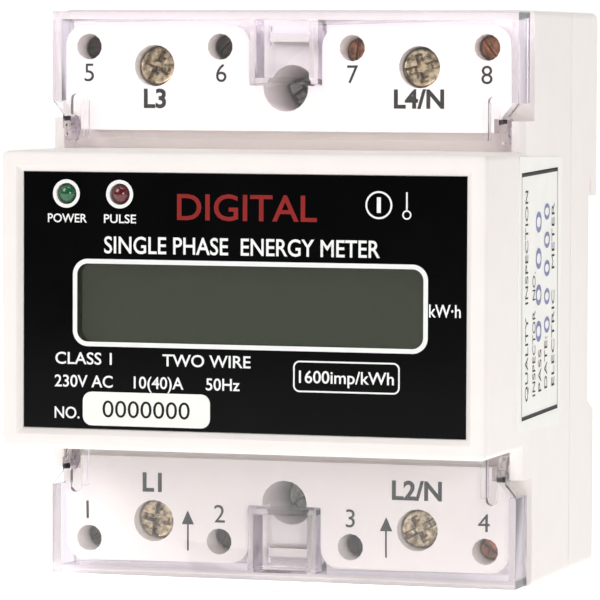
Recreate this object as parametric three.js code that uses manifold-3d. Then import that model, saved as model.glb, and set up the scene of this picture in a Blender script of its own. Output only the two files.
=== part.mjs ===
// DIN-rail single-phase electricity meter, six modules wide, with hinged clear terminal covers.
//
// Frame: millimetres. The origin is the centre of the rail seat, the flat floor of the rear
// notch. +X is to the right of someone facing the meter, +Y points to the rail, +Z is up.
// The upper half carries the outgoing terminals and the lower half the incoming ones.

import * as THREE from 'three';
import { mergeVertices } from 'three/addons/utils/BufferGeometryUtils.js';
import ManifoldModule from 'manifold-3d';

const wasm = await ManifoldModule();
wasm.setup();

// ---- Housing -----------------------------------------------------------------------------
const WIDTH = 76;
const HEIGHT = 88;
const FRONT_DEPTH = 63.2; // rail seat to the front of the display nose
const NOSE_HEIGHT = 45;
const SHOULDER_DEPTH = 35.6; // rail seat to the terminal shoulders
const PAD_RISE = 4.7; // raised terminal face above the shoulder
const PARTING_DEPTH = 12; // rail seat to the joint between base and front case
const PARTING_GAP = 0.3;
const WALL = 2;
const NOSE_WALL = 2.6;
const EDGE_RADIUS = 1;
const NOSE_BEVEL = 0.7;
const CLEARANCE = 0.3; // between loose neighbours
const SLIP = 0.2; // between a piece and the pocket that guides it

// ---- Rail side ---------------------------------------------------------------------------
const RAIL_NOTCH = 35.5;
const HOOK_DEPTH = 5; // upper rear face behind the rail seat
const FOOT_DEPTH = 4; // lower rear face behind the rail seat
const HOOK_LIP = 2.95; // how far the fixed lip reaches over the rail
const HOOK_SLOT = 1.8; // slot for the rail's edge under the lip
const FOOT_CHAMFER = 1.75;
const CLIP_WIDTH = 10;
const CLIP_FLANGE = 2;
const CLIP_THICKNESS = 2.8;
const CLIP_FLANGE_THICKNESS = 1.6;
const CLIP_BITE = 2.3; // how far the clip reaches over the rail
const CLIP_TAIL = 1.6; // how far the clip stands out below the meter
const SPRING_LENGTH = 12;
const SPRING_RADIUS = 1;
const SPRING_WIRE = 0.25;
const SPRING_TURNS = 7;
const SPRING_STOP = 1.8;
const SPRING_WINDOW_TOP = 6.5; // below the notch

// ---- Terminals ---------------------------------------------------------------------------
const MAIN_INSET = 8.6; // main screw centre from the top or bottom face
const AUX_INSET = 5.65; // auxiliary screw centre from the top or bottom face
const AUX_SIDE_INSET = 6; // outer auxiliary screw centre from the side
const AUX_INNER_X = 10.6;
const MAIN_HEAD = 3; // radius
const MAIN_HEAD_HEIGHT = 2.3;
const MAIN_HEAD_RECESS = 1.7;
const MAIN_SHANK = 2;
const MAIN_PORT_CLEARANCE = 0.25;
const MAIN_PORT = MAIN_HEAD + MAIN_PORT_CLEARANCE;
const AUX_HEAD = 1.75;
const AUX_HEAD_HEIGHT = 1.2;
const AUX_HEAD_RECESS = 3.9;
const AUX_SHANK = 1.25;
const AUX_PORT_CLEARANCE = 0.3;
const AUX_PORT = AUX_HEAD + AUX_PORT_CLEARANCE;
const THREAD_CLEARANCE = 0.12;
const TONGUE_DEPTH = 27.2; // rail seat to the front of the conductor tongues
const BAR_THICKNESS = 1.5;
const BAR_HALF_WIDTH = 3;
const BAR_REAR_DEPTH = 15.7;
const SHUNT_HALF_LENGTH = 8;
const CAGE_HALF_WIDTH = 4.4;
const CAGE_HALF_LENGTH = 4;
const CAGE_SIDE_WALL = 1;
const CAGE_NUT_WALL = 2.4;
const CAGE_JAW_WALL = 1.4;
const CAGE_WIRE_SPACE = 5.9;
const CAGE_TRAVEL = 5.25;
const BLOCK_REAR_DEPTH = 15;
const BLOCK_WALL = 1.6;
const AUX_BLOCK_HALF_WIDTH = 2;
const AUX_BLOCK_HALF_LENGTH = 2.4;
const AUX_BLOCK_END_WALL = 0.8;
const AUX_BLOCK_FRONT_DEPTH = 33.5;
const AUX_BLOCK_REAR_DEPTH = 23.5;
const AUX_WIRE_DEPTH = 26.2;
const AUX_WIRE_RADIUS = 1.3;

// ---- Case screws, seen at the bottom of the two central counterbores ---------------------
const CASE_SCREW_SHIFT = 1.25; // from the middle of the shoulder towards the nose
const COUNTERBORE_DEPTH = 12.7; // below the terminal face
const CASE_TUBE_WALL = 1.4;
const CASE_TUBE_FLOOR = 2;
const CASE_SCREW_HEAD = 3.2; // radius
const COUNTERBORE_CLEARANCE = 0.4;
const COUNTERBORE = CASE_SCREW_HEAD + COUNTERBORE_CLEARANCE; // radius
const CASE_SCREW_HEAD_HEIGHT = 2.2;
const CASE_SCREW_SHANK = 1.5;
const CASE_SCREW_LENGTH = 16;
const CASE_BOSS = 4;

// ---- Terminal covers ---------------------------------------------------------------------
const COVER_WALL = 1.2;
const COVER_GAP = 1.3; // over the terminal face
const COVER_INSET = 0.7; // from the housing side
const COVER_END_INSET = 0.3; // from the top or bottom face
const COVER_LIP = 1.7; // from the nose to the cover's near edge
const PIVOT_FROM_NOSE = 3.1;
const PIVOT_BEHIND_COVER = 2.6;
const PIN_RADIUS = 0.8;
const PIN_LENGTH = 1;
const PIN_CLEARANCE = 0.1;
const EYE_WALL = 1.2;
const EYE_RADIUS = PIN_RADIUS + EYE_WALL;
const CHEEK_WIDTH = 2.1;
const CHEEK_RISE = 1; // in front of the terminal face
const CHEEK_LENGTH = 4.7; // beyond the nose
const CHEEK_RADIUS = 1.6;
const ARM_WIDTH = 1.3;
const ARM_DEPTH = 1.9;
const SLOT_WIDTH = 1.7;
const SLOT_LENGTH = 8.5; // from the nose
const PAD_FROM_NOSE = 2.9;
const PAD_END_INSET = 2.3;
const PAD_NOTCH = 5; // from the nose, beside the arms
const PAD_RADIUS = 3;
const CHANNEL_HALF_WIDTH = 5.8;
const CHANNEL_DEPTH = 3.6; // below the terminal face
const CHANNEL_OFFSET = 0.4; // from the screw centre line
const TAB_END_WALL = 0.9;
const CATCH_HALF_WIDTH = 3.2;
const CATCH_LENGTH = 2.1;
const CATCH_INSET = 2.8; // from the top or bottom face
const CATCH_HEIGHT = 1.9;
const CATCH_WINDOW_GAP = 0.6;
const CATCH_RAMP = 0.8; // sloped end that the cover rides over

// ---- Nameplate and display ---------------------------------------------------------------
const PLATE_SIDE_INSET = 3.25;
const PLATE_END_INSET = 3.05;
const PLATE_WIDTH = WIDTH - 2 * PLATE_SIDE_INSET;
const PLATE_HEIGHT = NOSE_HEIGHT - 2 * PLATE_END_INSET;
const PLATE_RECESS = 0.8;
const PLATE_BEVEL = 0.85;
const FILM_THICKNESS = 0.3;
const FILM_GAP = 0.1;
const WINDOW_LEFT_INSET = 7.95; // from the plate's edge
const WINDOW_RIGHT_INSET = 5.95;
const WINDOW_WIDTH = PLATE_WIDTH - WINDOW_LEFT_INSET - WINDOW_RIGHT_INSET;
const WINDOW_HEIGHT = 13.2;
const WINDOW_RADIUS = 2.2;
const WINDOW_CENTRE = [(WINDOW_LEFT_INSET - WINDOW_RIGHT_INSET) / 2, -0.3]; // x, z
const LCD_OVERLAP = 2.2; // glass beyond the window on each side
const LCD_THICKNESS = 2.8;
const BACKLIGHT_THICKNESS = 3;
const LED_Z = PLATE_HEIGHT / 2 - 3.35;
const LED_POWER_X = -PLATE_WIDTH / 2 + 6.95;
const LED_PULSE_X = -PLATE_WIDTH / 2 + 15.45;
const LED_RADIUS = 1.5;
const LED_LENGTH = 8.4;
const LED_CLEARANCE = 0.1;
const LED_RING_WALL = 0.35;
const LED_RING = LED_RADIUS + LED_CLEARANCE + LED_RING_WALL; // outer radius
const LED_SHOULDER = 0.4; // wider than the dome, behind the nose wall
const RING_PROUD = 0.15;
const SERIAL_SIZE = [20.2, 5.1];
const SERIAL_CENTRE = [-PLATE_WIDTH / 2 + 19.7, -PLATE_HEIGHT / 2 + 3.15]; // x, z
const SERIAL_RADIUS = 1.4;
const STICKER_THICKNESS = 0.12;
const SIDE_LABEL_SIZE = [26.4, 41.6]; // along Y, along Z
const SIDE_LABEL_DEPTH = 31.9;
const SIDE_LABEL_Z = 0.9;
const SIDE_LABEL_TILT = THREE.MathUtils.degToRad(-1.2);

// ---- Boards ------------------------------------------------------------------------------
const BOARD_THICKNESS = 1.6;
const BOARD_GAP = 0.1; // solder film under a part
const MAIN_BOARD_DEPTH = 31; // rail seat to the component face
const MAIN_BOARD_END_GAP = 3; // to the case screw tubes
const BOARD_SIDE_GAP = 2;
const POST_RADIUS = 2.4;
const POST_GAP = 0.8; // from a display board post to the nose wall
const BLOCK_POST_RADIUS = 3;
const HEADER_PINS = 8;
const HEADER_PITCH = 2.54;
const HEADER_Z = -16;
const HEADER_HALF_WIDTH = 1.3;
const HEADER_END = 0.44; // shell beyond the outer half pitch
const HEADER_PIN_HALF = 0.32;
const HEADER_SPACER = 2.6;
const HEADER_SHELL = 8.6;
const BOARD_HALF_X = WIDTH / 2 - WALL - BOARD_SIDE_GAP;
const DROPPER = { xs: [3 - BOARD_HALF_X, 21 - BOARD_HALF_X], zs: [3, 14], height: 15, radius: 0.8 };
const CAN = { centre: [DROPPER.xs[1] + 9, 10], radius: 5, height: 16, bevel: 0.4 };
const VARISTOR = { xs: [10 - BOARD_HALF_X, 14 - BOARD_HALF_X], z: -8, radius: 5, centreHeight: 7 };
const VARISTOR_LEG = { radius: 0.4, inset: 1.2, spread: 2.5, height: 4 };
const CRYSTAL = { xs: [-1, 10], zs: [-7.3, -2.7], height: 3.6, radius: 2.2 };
const METERING_CHIP = { centre: [CAN.centre[0] + 16, 8], size: [7.5, 10.3], thickness: 2.3, leads: 8 };
const MICROCONTROLLER = { centre: [18, 6], size: [10, 10], thickness: 1.5, leads: 12 };
const OPTOCOUPLER = { centre: [BOARD_HALF_X - 8, -10], size: [6.4, 4.6], thickness: 3.5, leads: 2 };
const CHIP_STANDOFF = 0.15;
const LEAD_REACH = 1; // beyond the package on each side
const LEAD_HEIGHT = 0.4;

// ---- Derived places ----------------------------------------------------------------------
const side = WIDTH / 2;
const top = HEIGHT / 2;
const nose = NOSE_HEIGHT / 2;
const notch = RAIL_NOTCH / 2;
const frontY = -FRONT_DEPTH;
const shoulderY = -SHOULDER_DEPTH;
const padY = shoulderY - PAD_RISE;
const partingY = -PARTING_DEPTH;
const coverInnerY = padY - COVER_GAP;
const coverY = coverInnerY - COVER_WALL;
const coverBackY = shoulderY - CLEARANCE;
const coverSide = side - COVER_INSET;
const coverTop = top - COVER_END_INSET;
const cheekInner = side - CHEEK_WIDTH;
const armOuter = cheekInner - CLEARANCE;
const armInner = armOuter - ARM_WIDTH;
const slotInner = armInner - SLOT_WIDTH;
const padSide = coverSide - COVER_WALL - CLEARANCE;
const padTop = top - PAD_END_INSET;
const padLow = nose + PAD_FROM_NOSE;
const screwZ = (nose + top) / 2 - CASE_SCREW_SHIFT;
const mainZ = top - MAIN_INSET;
const auxZ = top - AUX_INSET;
const auxOuterX = side - AUX_SIDE_INSET;
const mainX = (AUX_INNER_X + auxOuterX) / 2;
const pivotY = coverY + PIVOT_BEHIND_COVER;
const pivotZ = nose + PIVOT_FROM_NOSE;
const channelY = padY + CHANNEL_DEPTH;
const channelEnd = screwZ + CHANNEL_OFFSET;
const plateY = frontY + PLATE_RECESS;
const filmBackY = plateY + FILM_THICKNESS;
const noseInnerY = frontY + NOSE_WALL;
const lcdBackY = noseInnerY + BOARD_GAP + LCD_THICKNESS;
const backlightBackY = lcdBackY + BOARD_GAP + BACKLIGHT_THICKNESS;
const displayBoardY = backlightBackY + BOARD_GAP;
const mainBoardY = -MAIN_BOARD_DEPTH;
const displayBoardBackY = displayBoardY + BOARD_THICKNESS;
const shoulderInnerY = shoulderY + WALL;
const blockFrontY = shoulderInnerY + CLEARANCE;
const blockRearY = -BLOCK_REAR_DEPTH;
const cageBackY = -TONGUE_DEPTH + BAR_THICKNESS + CAGE_WIRE_SPACE + CAGE_JAW_WALL;
const cageFrontY = -TONGUE_DEPTH - CLEARANCE - CAGE_NUT_WALL;
const counterboreY = padY + COUNTERBORE_DEPTH;
const caseTubeEndY = counterboreY + CASE_TUBE_FLOOR + CASE_SCREW_HEAD_HEIGHT;
const caseSeatY = caseTubeEndY - CASE_TUBE_FLOOR;
const caseTubeRadius = COUNTERBORE + CASE_TUBE_WALL;
const blockInnerZ = mainZ - CAGE_HALF_LENGTH - SLIP - BLOCK_WALL;
const mainBoardHalfZ = screwZ - caseTubeRadius - MAIN_BOARD_END_GAP;

// ---- Materials ---------------------------------------------------------------------------
const finish = (color, roughness, metalness = 0, extra = {}) =>
  new THREE.MeshStandardMaterial({ color, roughness, metalness, ...extra });
const materials = {
  housing: finish('#f6f1ea', 0.55),
  insulator: finish('#e4ddd2', 0.6),
  clip: finish('#d9d4cb', 0.5),
  cover: finish('#f3eef4', 0.12, 0, { transparent: true, opacity: 0.35 }),
  film: finish('#0c0c0e', 0.22),
  paper: finish('#fbfaf5', 0.7),
  lens: finish('#dfe4d6', 0.08, 0, { transparent: true, opacity: 0.35 }),
  lcd: finish('#41442f', 0.25),
  backlight: finish('#e9ebe2', 0.5),
  nickel: finish('#a59c8b', 0.35, 1),
  copper: finish('#a0653c', 0.4, 1),
  brass: finish('#b08d4f', 0.4, 1),
  manganin: finish('#8d7a66', 0.45, 1),
  steel: finish('#8d8d8b', 0.35, 1),
  spring: finish('#9a9a98', 0.3, 1),
  green: finish('#1f8f54', 0.25),
  red: finish('#8f1d22', 0.25),
  board: finish('#1f6b3f', 0.5),
  chip: finish('#1b1b1d', 0.55),
  film_capacitor: finish('#a43a2a', 0.5),
  can: finish('#23325c', 0.4),
  varistor: finish('#2a5aa8', 0.45),
  crystal: finish('#b9bab8', 0.3, 1),
  optocoupler: finish('#f1efe9', 0.5),
};

// ---- Solid helpers -----------------------------------------------------------------------
const { Manifold, Mesh } = wasm;

function toSolid(geometry) {
  geometry.deleteAttribute('normal');
  geometry.deleteAttribute('uv');
  const merged = mergeVertices(geometry, 1e-4);
  const vertProperties = Float32Array.from(merged.attributes.position.array);
  const triVerts = Uint32Array.from(merged.index.array);
  return new Manifold(new Mesh({ numProp: 3, vertProperties, triVerts }));
}

const ordered = ([a, b]) => (a < b ? [a, b] : [b, a]);

function block(xs, ys, zs) {
  const [[x0, x1], [y0, y1], [z0, z1]] = [ordered(xs), ordered(ys), ordered(zs)];
  const geometry = new THREE.BoxGeometry(x1 - x0, y1 - y0, z1 - z0);
  geometry.translate((x0 + x1) / 2, (y0 + y1) / 2, (z0 + z1) / 2);
  return toSolid(geometry);
}

// A rod along one axis; centre holds the two other coordinates in x, y, z order.
function rod(axis, radius, span, centre, sides = 24) {
  const [from, to] = ordered(span);
  const geometry = new THREE.CylinderGeometry(radius, radius, to - from, sides);
  const middle = (from + to) / 2;
  if (axis === 'x') {
    geometry.rotateZ(Math.PI / 2);
    geometry.translate(middle, centre[0], centre[1]);
  } else if (axis === 'y') {
    geometry.translate(centre[0], middle, centre[1]);
  } else {
    geometry.rotateX(Math.PI / 2);
    geometry.translate(centre[0], centre[1], middle);
  }
  return toSolid(geometry);
}

// An outline from corners [u, v] or [u, v, radius]; a radius rounds that corner.
function outline(corners) {
  const shape = new THREE.Shape();
  const count = corners.length;
  const point = (i) => new THREE.Vector2(...corners[(i + count) % count].slice(0, 2));
  const steps = corners.map((corner, i) => {
    const here = point(i);
    const radius = corner[2] ?? 0;
    const before = point(i - 1).sub(here).normalize().multiplyScalar(radius).add(here);
    const after = point(i + 1).sub(here).normalize().multiplyScalar(radius).add(here);
    return { here, before, after, radius };
  });
  shape.moveTo(steps[0].after.x, steps[0].after.y);
  for (const { here, before, after, radius } of [...steps.slice(1), steps[0]]) {
    shape.lineTo(before.x, before.y);
    if (radius > 0) {
      // The control points 0.5523 of the way to the corner make a quarter circle.
      const c1 = before.clone().lerp(here, 0.5523);
      const c2 = after.clone().lerp(here, 0.5523);
      shape.bezierCurveTo(c1.x, c1.y, c2.x, c2.y, after.x, after.y);
    }
  }
  return shape;
}

const rectangle = ([u0, u1], [v0, v1], radius = 0) =>
  outline([[u0, v0, radius], [u1, v0, radius], [u1, v1, radius], [u0, v1, radius]]);

function extrude(shape, length, segments) {
  return new THREE.ExtrudeGeometry(shape, {
    depth: length,
    bevelEnabled: false,
    curveSegments: segments,
  });
}

// An outline in x and z, extruded along Y.
function alongY(shape, [y0, y1], segments = 5) {
  const geometry = extrude(shape, y1 - y0, segments);
  geometry.rotateX(Math.PI / 2);
  geometry.translate(0, y1, 0);
  return toSolid(geometry);
}

// An outline in y and z, extruded along X.
function alongX(shape, [x0, x1], segments = 5) {
  const geometry = extrude(shape, x1 - x0, segments);
  const turn = new THREE.Matrix4().makeBasis(
    new THREE.Vector3(0, 1, 0),
    new THREE.Vector3(0, 0, 1),
    new THREE.Vector3(1, 0, 0),
  );
  geometry.applyMatrix4(turn);
  geometry.translate(x0, 0, 0);
  return toSolid(geometry);
}

// An outline in x and y, extruded along Z.
function alongZ(shape, [z0, z1], segments = 5) {
  const geometry = extrude(shape, z1 - z0, segments);
  geometry.translate(0, 0, z0);
  return toSolid(geometry);
}

// A block along Y whose x and z sizes change linearly from one end to the other.
function taper([frontHalfX, frontHalfZ], [rearHalfX, rearHalfZ], [y0, y1]) {
  const geometry = new THREE.BoxGeometry(2, 2, 2);
  const position = geometry.attributes.position;
  for (let i = 0; i < position.count; i += 1) {
    const atFront = position.getY(i) < 0;
    const halfX = atFront ? frontHalfX : rearHalfX;
    const halfZ = atFront ? frontHalfZ : rearHalfZ;
    position.setXYZ(i, position.getX(i) * halfX, atFront ? y0 : y1, position.getZ(i) * halfZ);
  }
  return toSolid(geometry);
}

// A solid of revolution about an axis along Y; profile points are [radius, y].
function turned(profile, [x, z], sides = 24) {
  const points = profile.map(([radius, y]) => new THREE.Vector2(radius, y));
  const geometry = new THREE.LatheGeometry(points, sides);
  geometry.translate(x, 0, z);
  return toSolid(geometry);
}

// The same solid upside down, for the lower half of the meter.
function mirroredZ(solid) {
  const mesh = solid.getMesh();
  const vertProperties = Float32Array.from(mesh.vertProperties);
  for (let i = 2; i < vertProperties.length; i += 3) {
    vertProperties[i] = -vertProperties[i];
  }
  const triVerts = Uint32Array.from(mesh.triVerts);
  for (let i = 0; i < triVerts.length; i += 3) {
    [triVerts[i], triVerts[i + 1]] = [triVerts[i + 1], triVerts[i]];
  }
  return new Manifold(new Mesh({ numProp: 3, vertProperties, triVerts }));
}

const joined = (first, ...rest) => rest.reduce((sum, piece) => sum.add(piece), first);
const cut = (first, ...rest) => rest.reduce((left, piece) => left.subtract(piece), first);
const onBothHalves = (solid) => [solid, mirroredZ(solid)];

const CORNERS = [[-1, -1], [1, -1], [-1, 1], [1, 1]]; // signs of x and z

const meter = new THREE.Group();
meter.name = 'electric_meter';

function addPart(name, solid, material) {
  const mesh = solid.getMesh();
  const geometry = new THREE.BufferGeometry();
  geometry.setAttribute('position', new THREE.BufferAttribute(mesh.vertProperties, 3));
  geometry.setIndex(new THREE.BufferAttribute(mesh.triVerts, 1));
  geometry.computeVertexNormals();
  const part = new THREE.Mesh(geometry, material);
  part.name = name;
  meter.add(part);
}

// ---- Terminal places ---------------------------------------------------------------------
const mainTerminals = [
  { name: 'line_in', x: -mainX, z: -mainZ },
  { name: 'neutral_in', x: mainX, z: -mainZ },
  { name: 'line_out', x: -mainX, z: mainZ },
  { name: 'neutral_out', x: mainX, z: mainZ },
];
const auxColumns = [-auxOuterX, -AUX_INNER_X, AUX_INNER_X, auxOuterX];
const auxTerminals = [
  ...auxColumns.map((x, i) => ({ name: `auxiliary_${i + 1}`, x, z: -auxZ })),
  ...auxColumns.map((x, i) => ({ name: `auxiliary_${i + 5}`, x, z: auxZ })),
];
const wireLow = -TONGUE_DEPTH + BAR_THICKNESS;
const wireHigh = wireLow + CAGE_WIRE_SPACE;
const wireHalfWidth = CAGE_HALF_WIDTH - CAGE_SIDE_WALL;

// ---- Front case --------------------------------------------------------------------------
function terminalPad() {
  const right = [
    [CHANNEL_HALF_WIDTH, channelEnd],
    [CHANNEL_HALF_WIDTH, padTop, PAD_RADIUS],
    [padSide, padTop, PAD_RADIUS],
    [padSide, nose + PAD_NOTCH + CHEEK_WIDTH],
    [armInner - CLEARANCE, nose + PAD_NOTCH],
    [slotInner + CLEARANCE, nose + PAD_NOTCH],
    [slotInner + CLEARANCE, padLow],
  ];
  const left = right.map(([x, z, radius]) => [-x, z, radius]).reverse();
  const face = alongY(outline([...right, ...left]), [padY, shoulderY + WALL / 2], 6);
  const channelFloor = block(
    [-CHANNEL_HALF_WIDTH - 1, CHANNEL_HALF_WIDTH + 1],
    [channelY, shoulderY + WALL / 2],
    [channelEnd - 1, padTop],
  );
  return joined(face, channelFloor);
}

function cheek(sign) {
  const corners = [
    [sign * cheekInner, shoulderY + WALL / 2],
    [sign * cheekInner, padY - CHEEK_RISE],
    [sign * side, padY - CHEEK_RISE, CHEEK_RADIUS],
    [sign * side, shoulderY + WALL / 2],
  ];
  return alongZ(outline(corners), [nose - WALL / 2, nose + CHEEK_LENGTH], 5);
}

function caseCatch() {
  const z1 = top - CATCH_INSET;
  const z0 = z1 - CATCH_LENGTH;
  const rise = channelY - CATCH_HEIGHT;
  const rootY = channelY + WALL / 2;
  const wedge = outline([
    [rootY, z0],
    [rise, z0],
    [rise, z1 - CATCH_RAMP],
    [channelY, z1],
    [rootY, z1],
  ]);
  return alongX(wedge, [-CATCH_HALF_WIDTH, CATCH_HALF_WIDTH]);
}

function frontCase() {
  const shell = alongY(
    rectangle([-side, side], [-top, top], EDGE_RADIUS),
    [shoulderY, partingY - PARTING_GAP / 2],
  );
  const noseShape = rectangle([-side, side], [-nose, nose], EDGE_RADIUS);
  const noseGeometry = new THREE.ExtrudeGeometry(noseShape, {
    depth: FRONT_DEPTH - SHOULDER_DEPTH + WALL - 2 * NOSE_BEVEL,
    bevelThickness: NOSE_BEVEL,
    bevelSize: NOSE_BEVEL,
    bevelOffset: -NOSE_BEVEL,
    bevelSegments: 3,
    curveSegments: 5,
  });
  noseGeometry.rotateX(Math.PI / 2);
  noseGeometry.translate(0, shoulderY + WALL - NOSE_BEVEL, 0);
  const outer = joined(
    shell,
    toSolid(noseGeometry),
    ...onBothHalves(joined(terminalPad(), cheek(1), cheek(-1), caseCatch())),
  );

  const hollow = joined(
    block([-side + WALL, side - WALL], [shoulderInnerY, 0], [-top + WALL, top - WALL]),
    block([-side + WALL, side - WALL], [noseInnerY, 0], [-nose + WALL, nose - WALL]),
  );
  const tubes = onBothHalves(rod('y', caseTubeRadius, [channelY, caseTubeEndY], [0, screwZ]));
  const postX = side - WALL - POST_GAP - POST_RADIUS;
  const postZ = nose - WALL - POST_GAP - POST_RADIUS;
  const posts = CORNERS.map(([sx, sz]) =>
    rod('y', POST_RADIUS, [noseInnerY - 0.5, displayBoardY - BOARD_GAP], [sx * postX, sz * postZ], 10));
  const rings = [LED_POWER_X, LED_PULSE_X].map((x) =>
    rod('y', LED_RING, [plateY - RING_PROUD, noseInnerY], [x, LED_Z]));
  const recess = joined(
    taper(
      [PLATE_WIDTH / 2 + 2 * PLATE_BEVEL, PLATE_HEIGHT / 2 + 2 * PLATE_BEVEL],
      [PLATE_WIDTH / 2, PLATE_HEIGHT / 2],
      [frontY - PLATE_RECESS, plateY],
    ),
    block(
      [-PLATE_WIDTH / 2, PLATE_WIDTH / 2],
      [plateY - 0.1, filmBackY],
      [-PLATE_HEIGHT / 2, PLATE_HEIGHT / 2],
    ),
  );

  const openings = [];
  for (const { x, z } of mainTerminals) {
    const end = Math.sign(z);
    openings.push(rod('y', MAIN_PORT, [padY - 1, shoulderInnerY + 1], [x, z], 22));
    openings.push(block(
      [x - CAGE_HALF_WIDTH - SLIP, x + CAGE_HALF_WIDTH + SLIP],
      [cageFrontY - CAGE_TRAVEL - CLEARANCE, shoulderInnerY + 1],
      [z - CAGE_HALF_LENGTH - SLIP, z + CAGE_HALF_LENGTH + SLIP],
    ));
    openings.push(block(
      [x - wireHalfWidth, x + wireHalfWidth],
      [wireLow, wireHigh],
      [end * (top - 2 * WALL), end * (top + 1)],
    ));
  }
  for (const { x, z } of auxTerminals) {
    const end = Math.sign(z);
    openings.push(rod('y', AUX_PORT, [padY - 1, shoulderInnerY + 1], [x, z], 14));
    const wireSpan = [end * (top - 2 * WALL), end * (top + 1)];
    openings.push(rod('z', AUX_WIRE_RADIUS, wireSpan, [x, -AUX_WIRE_DEPTH], 10));
  }
  const counterbores = onBothHalves(joined(
    rod('y', COUNTERBORE, [padY - 1, caseSeatY], [0, screwZ], 20),
    rod('y', CASE_SCREW_SHANK + SLIP, [padY, caseTubeEndY + 1], [0, screwZ], 12),
  ));
  const pinHoles = [-1, 1].flatMap((sign) => onBothHalves(rod(
    'x',
    PIN_RADIUS + PIN_CLEARANCE,
    [sign * (cheekInner - 1), sign * (armOuter + PIN_LENGTH + SLIP)],
    [pivotY, pivotZ],
    16,
  )));
  const ledHoles = [LED_POWER_X, LED_PULSE_X].map((x) =>
    rod('y', LED_RADIUS + LED_CLEARANCE, [frontY, noseInnerY + 1], [x, LED_Z]));
  const [wx, wz] = WINDOW_CENTRE;
  const window = alongY(
    rectangle(
      [wx - WINDOW_WIDTH / 2, wx + WINDOW_WIDTH / 2],
      [wz - WINDOW_HEIGHT / 2, wz + WINDOW_HEIGHT / 2],
      WINDOW_RADIUS,
    ),
    [frontY, noseInnerY + 1],
  );

  const shellWithBosses = joined(cut(outer, hollow, recess), ...tubes, ...posts, ...rings);
  return cut(shellWithBosses, window, ...openings, ...counterbores, ...pinHoles, ...ledHoles);
}

// ---- Base housing ------------------------------------------------------------------------
const clipBackY = FOOT_DEPTH - 0.1;
const clipFrontY = clipBackY - CLIP_THICKNESS;
const clipTopZ = -notch + CLIP_BITE;
const clipTailZ = -top - CLIP_TAIL;
const springTopZ = -notch - SPRING_WINDOW_TOP;
const springLowZ = springTopZ - SPRING_LENGTH;
const clipHalf = CLIP_WIDTH / 2;

function baseHousing() {
  const profile = outline([
    [partingY + PARTING_GAP / 2, -top],
    [FOOT_DEPTH, -top, EDGE_RADIUS],
    [FOOT_DEPTH, -notch - FOOT_CHAMFER],
    [0, -notch],
    [0, notch],
    [HOOK_SLOT, notch],
    [HOOK_SLOT, notch - HOOK_LIP],
    [HOOK_DEPTH, notch - HOOK_LIP, 0.6],
    [HOOK_DEPTH, top, EDGE_RADIUS],
    [partingY + PARTING_GAP / 2, top],
  ]);
  const solid = alongX(profile, [-side, side]);
  const trimmed = solid.intersect(alongY(
    rectangle([-side, side], [-top, top], EDGE_RADIUS),
    [partingY - 1, HOOK_DEPTH + 1],
  ));
  const hollow = joined(
    block([-side + WALL, side - WALL], [partingY - 1, -WALL], [-top + WALL, top - WALL]),
    block([-side + WALL, side - WALL], [-2 * WALL, HOOK_DEPTH - WALL], [notch + WALL, top - WALL]),
  );
  // Posts grow from the rear wall, which lies deeper in the upper half.
  const post = (radius, endY, x, z, sides) => {
    const wallY = z > 0 ? HOOK_DEPTH - WALL : -WALL;
    return rod('y', radius, [endY, wallY + 0.5], [x, z], sides);
  };
  const posts = [-1, 1].flatMap((sz) => [
    post(CASE_BOSS, caseTubeEndY + CLEARANCE, 0, sz * screwZ, 28),
    ...[-1, 1].flatMap((sx) => [
      post(
        POST_RADIUS,
        mainBoardY + BOARD_THICKNESS + BOARD_GAP,
        sx * (side - WALL - BOARD_SIDE_GAP - POST_RADIUS),
        sz * (mainBoardHalfZ - POST_RADIUS),
        16,
      ),
      post(BLOCK_POST_RADIUS, blockRearY + BOARD_GAP, sx * auxOuterX, sz * mainZ, 16),
    ]),
  ]);
  const pilots = onBothHalves(rod(
    'y',
    CASE_SCREW_SHANK + THREAD_CLEARANCE,
    [caseTubeEndY - 1, caseSeatY + CASE_SCREW_LENGTH + 1],
    [0, screwZ],
  ));
  // Clip channel: wide under the flanges, narrower at the rear face, open at the bottom.
  const channel = joined(
    block(
      [-clipHalf - CLIP_FLANGE - SLIP, clipHalf + CLIP_FLANGE + SLIP],
      [clipFrontY - SLIP, clipFrontY + CLIP_FLANGE_THICKNESS + SLIP],
      [-notch + 1, -top - 1],
    ),
    block([-clipHalf - SLIP, clipHalf + SLIP], [clipFrontY - SLIP, FOOT_DEPTH + 1], [-notch + 1, -top - 1]),
  );
  const stop = block(
    [-SPRING_RADIUS - 1, SPRING_RADIUS + 1],
    [clipFrontY - 1, clipBackY - 0.4],
    [springLowZ - SPRING_STOP, springLowZ - BOARD_GAP],
  );
  return joined(
    cut(joined(cut(trimmed, hollow), ...posts), channel, ...pilots),
    stop,
  );
}

function dinClip() {
  const stem = alongX(
    outline([
      [clipFrontY, clipTopZ],
      [clipFrontY, clipTailZ],
      [clipBackY, clipTailZ],
      [clipBackY, clipTopZ - 1.6],
      [clipFrontY + 0.8, clipTopZ],
    ]),
    [-clipHalf, clipHalf],
  );
  const flanges = block(
    [-clipHalf - CLIP_FLANGE, clipHalf + CLIP_FLANGE],
    [clipFrontY, clipFrontY + CLIP_FLANGE_THICKNESS],
    [-notch - 3, -top + 2],
  );
  const springWindow = block(
    [-SPRING_RADIUS - 1.3, SPRING_RADIUS + 1.3],
    [clipFrontY - 1, clipBackY + 1],
    [springTopZ, springLowZ - SPRING_STOP - SLIP],
  );
  const toolSlot = block([-3, 3], [clipFrontY - 1, clipBackY + 1], [-top + 0.4, -top + 2.4]);
  return cut(joined(stem, flanges), springWindow, toolSlot);
}

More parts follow.
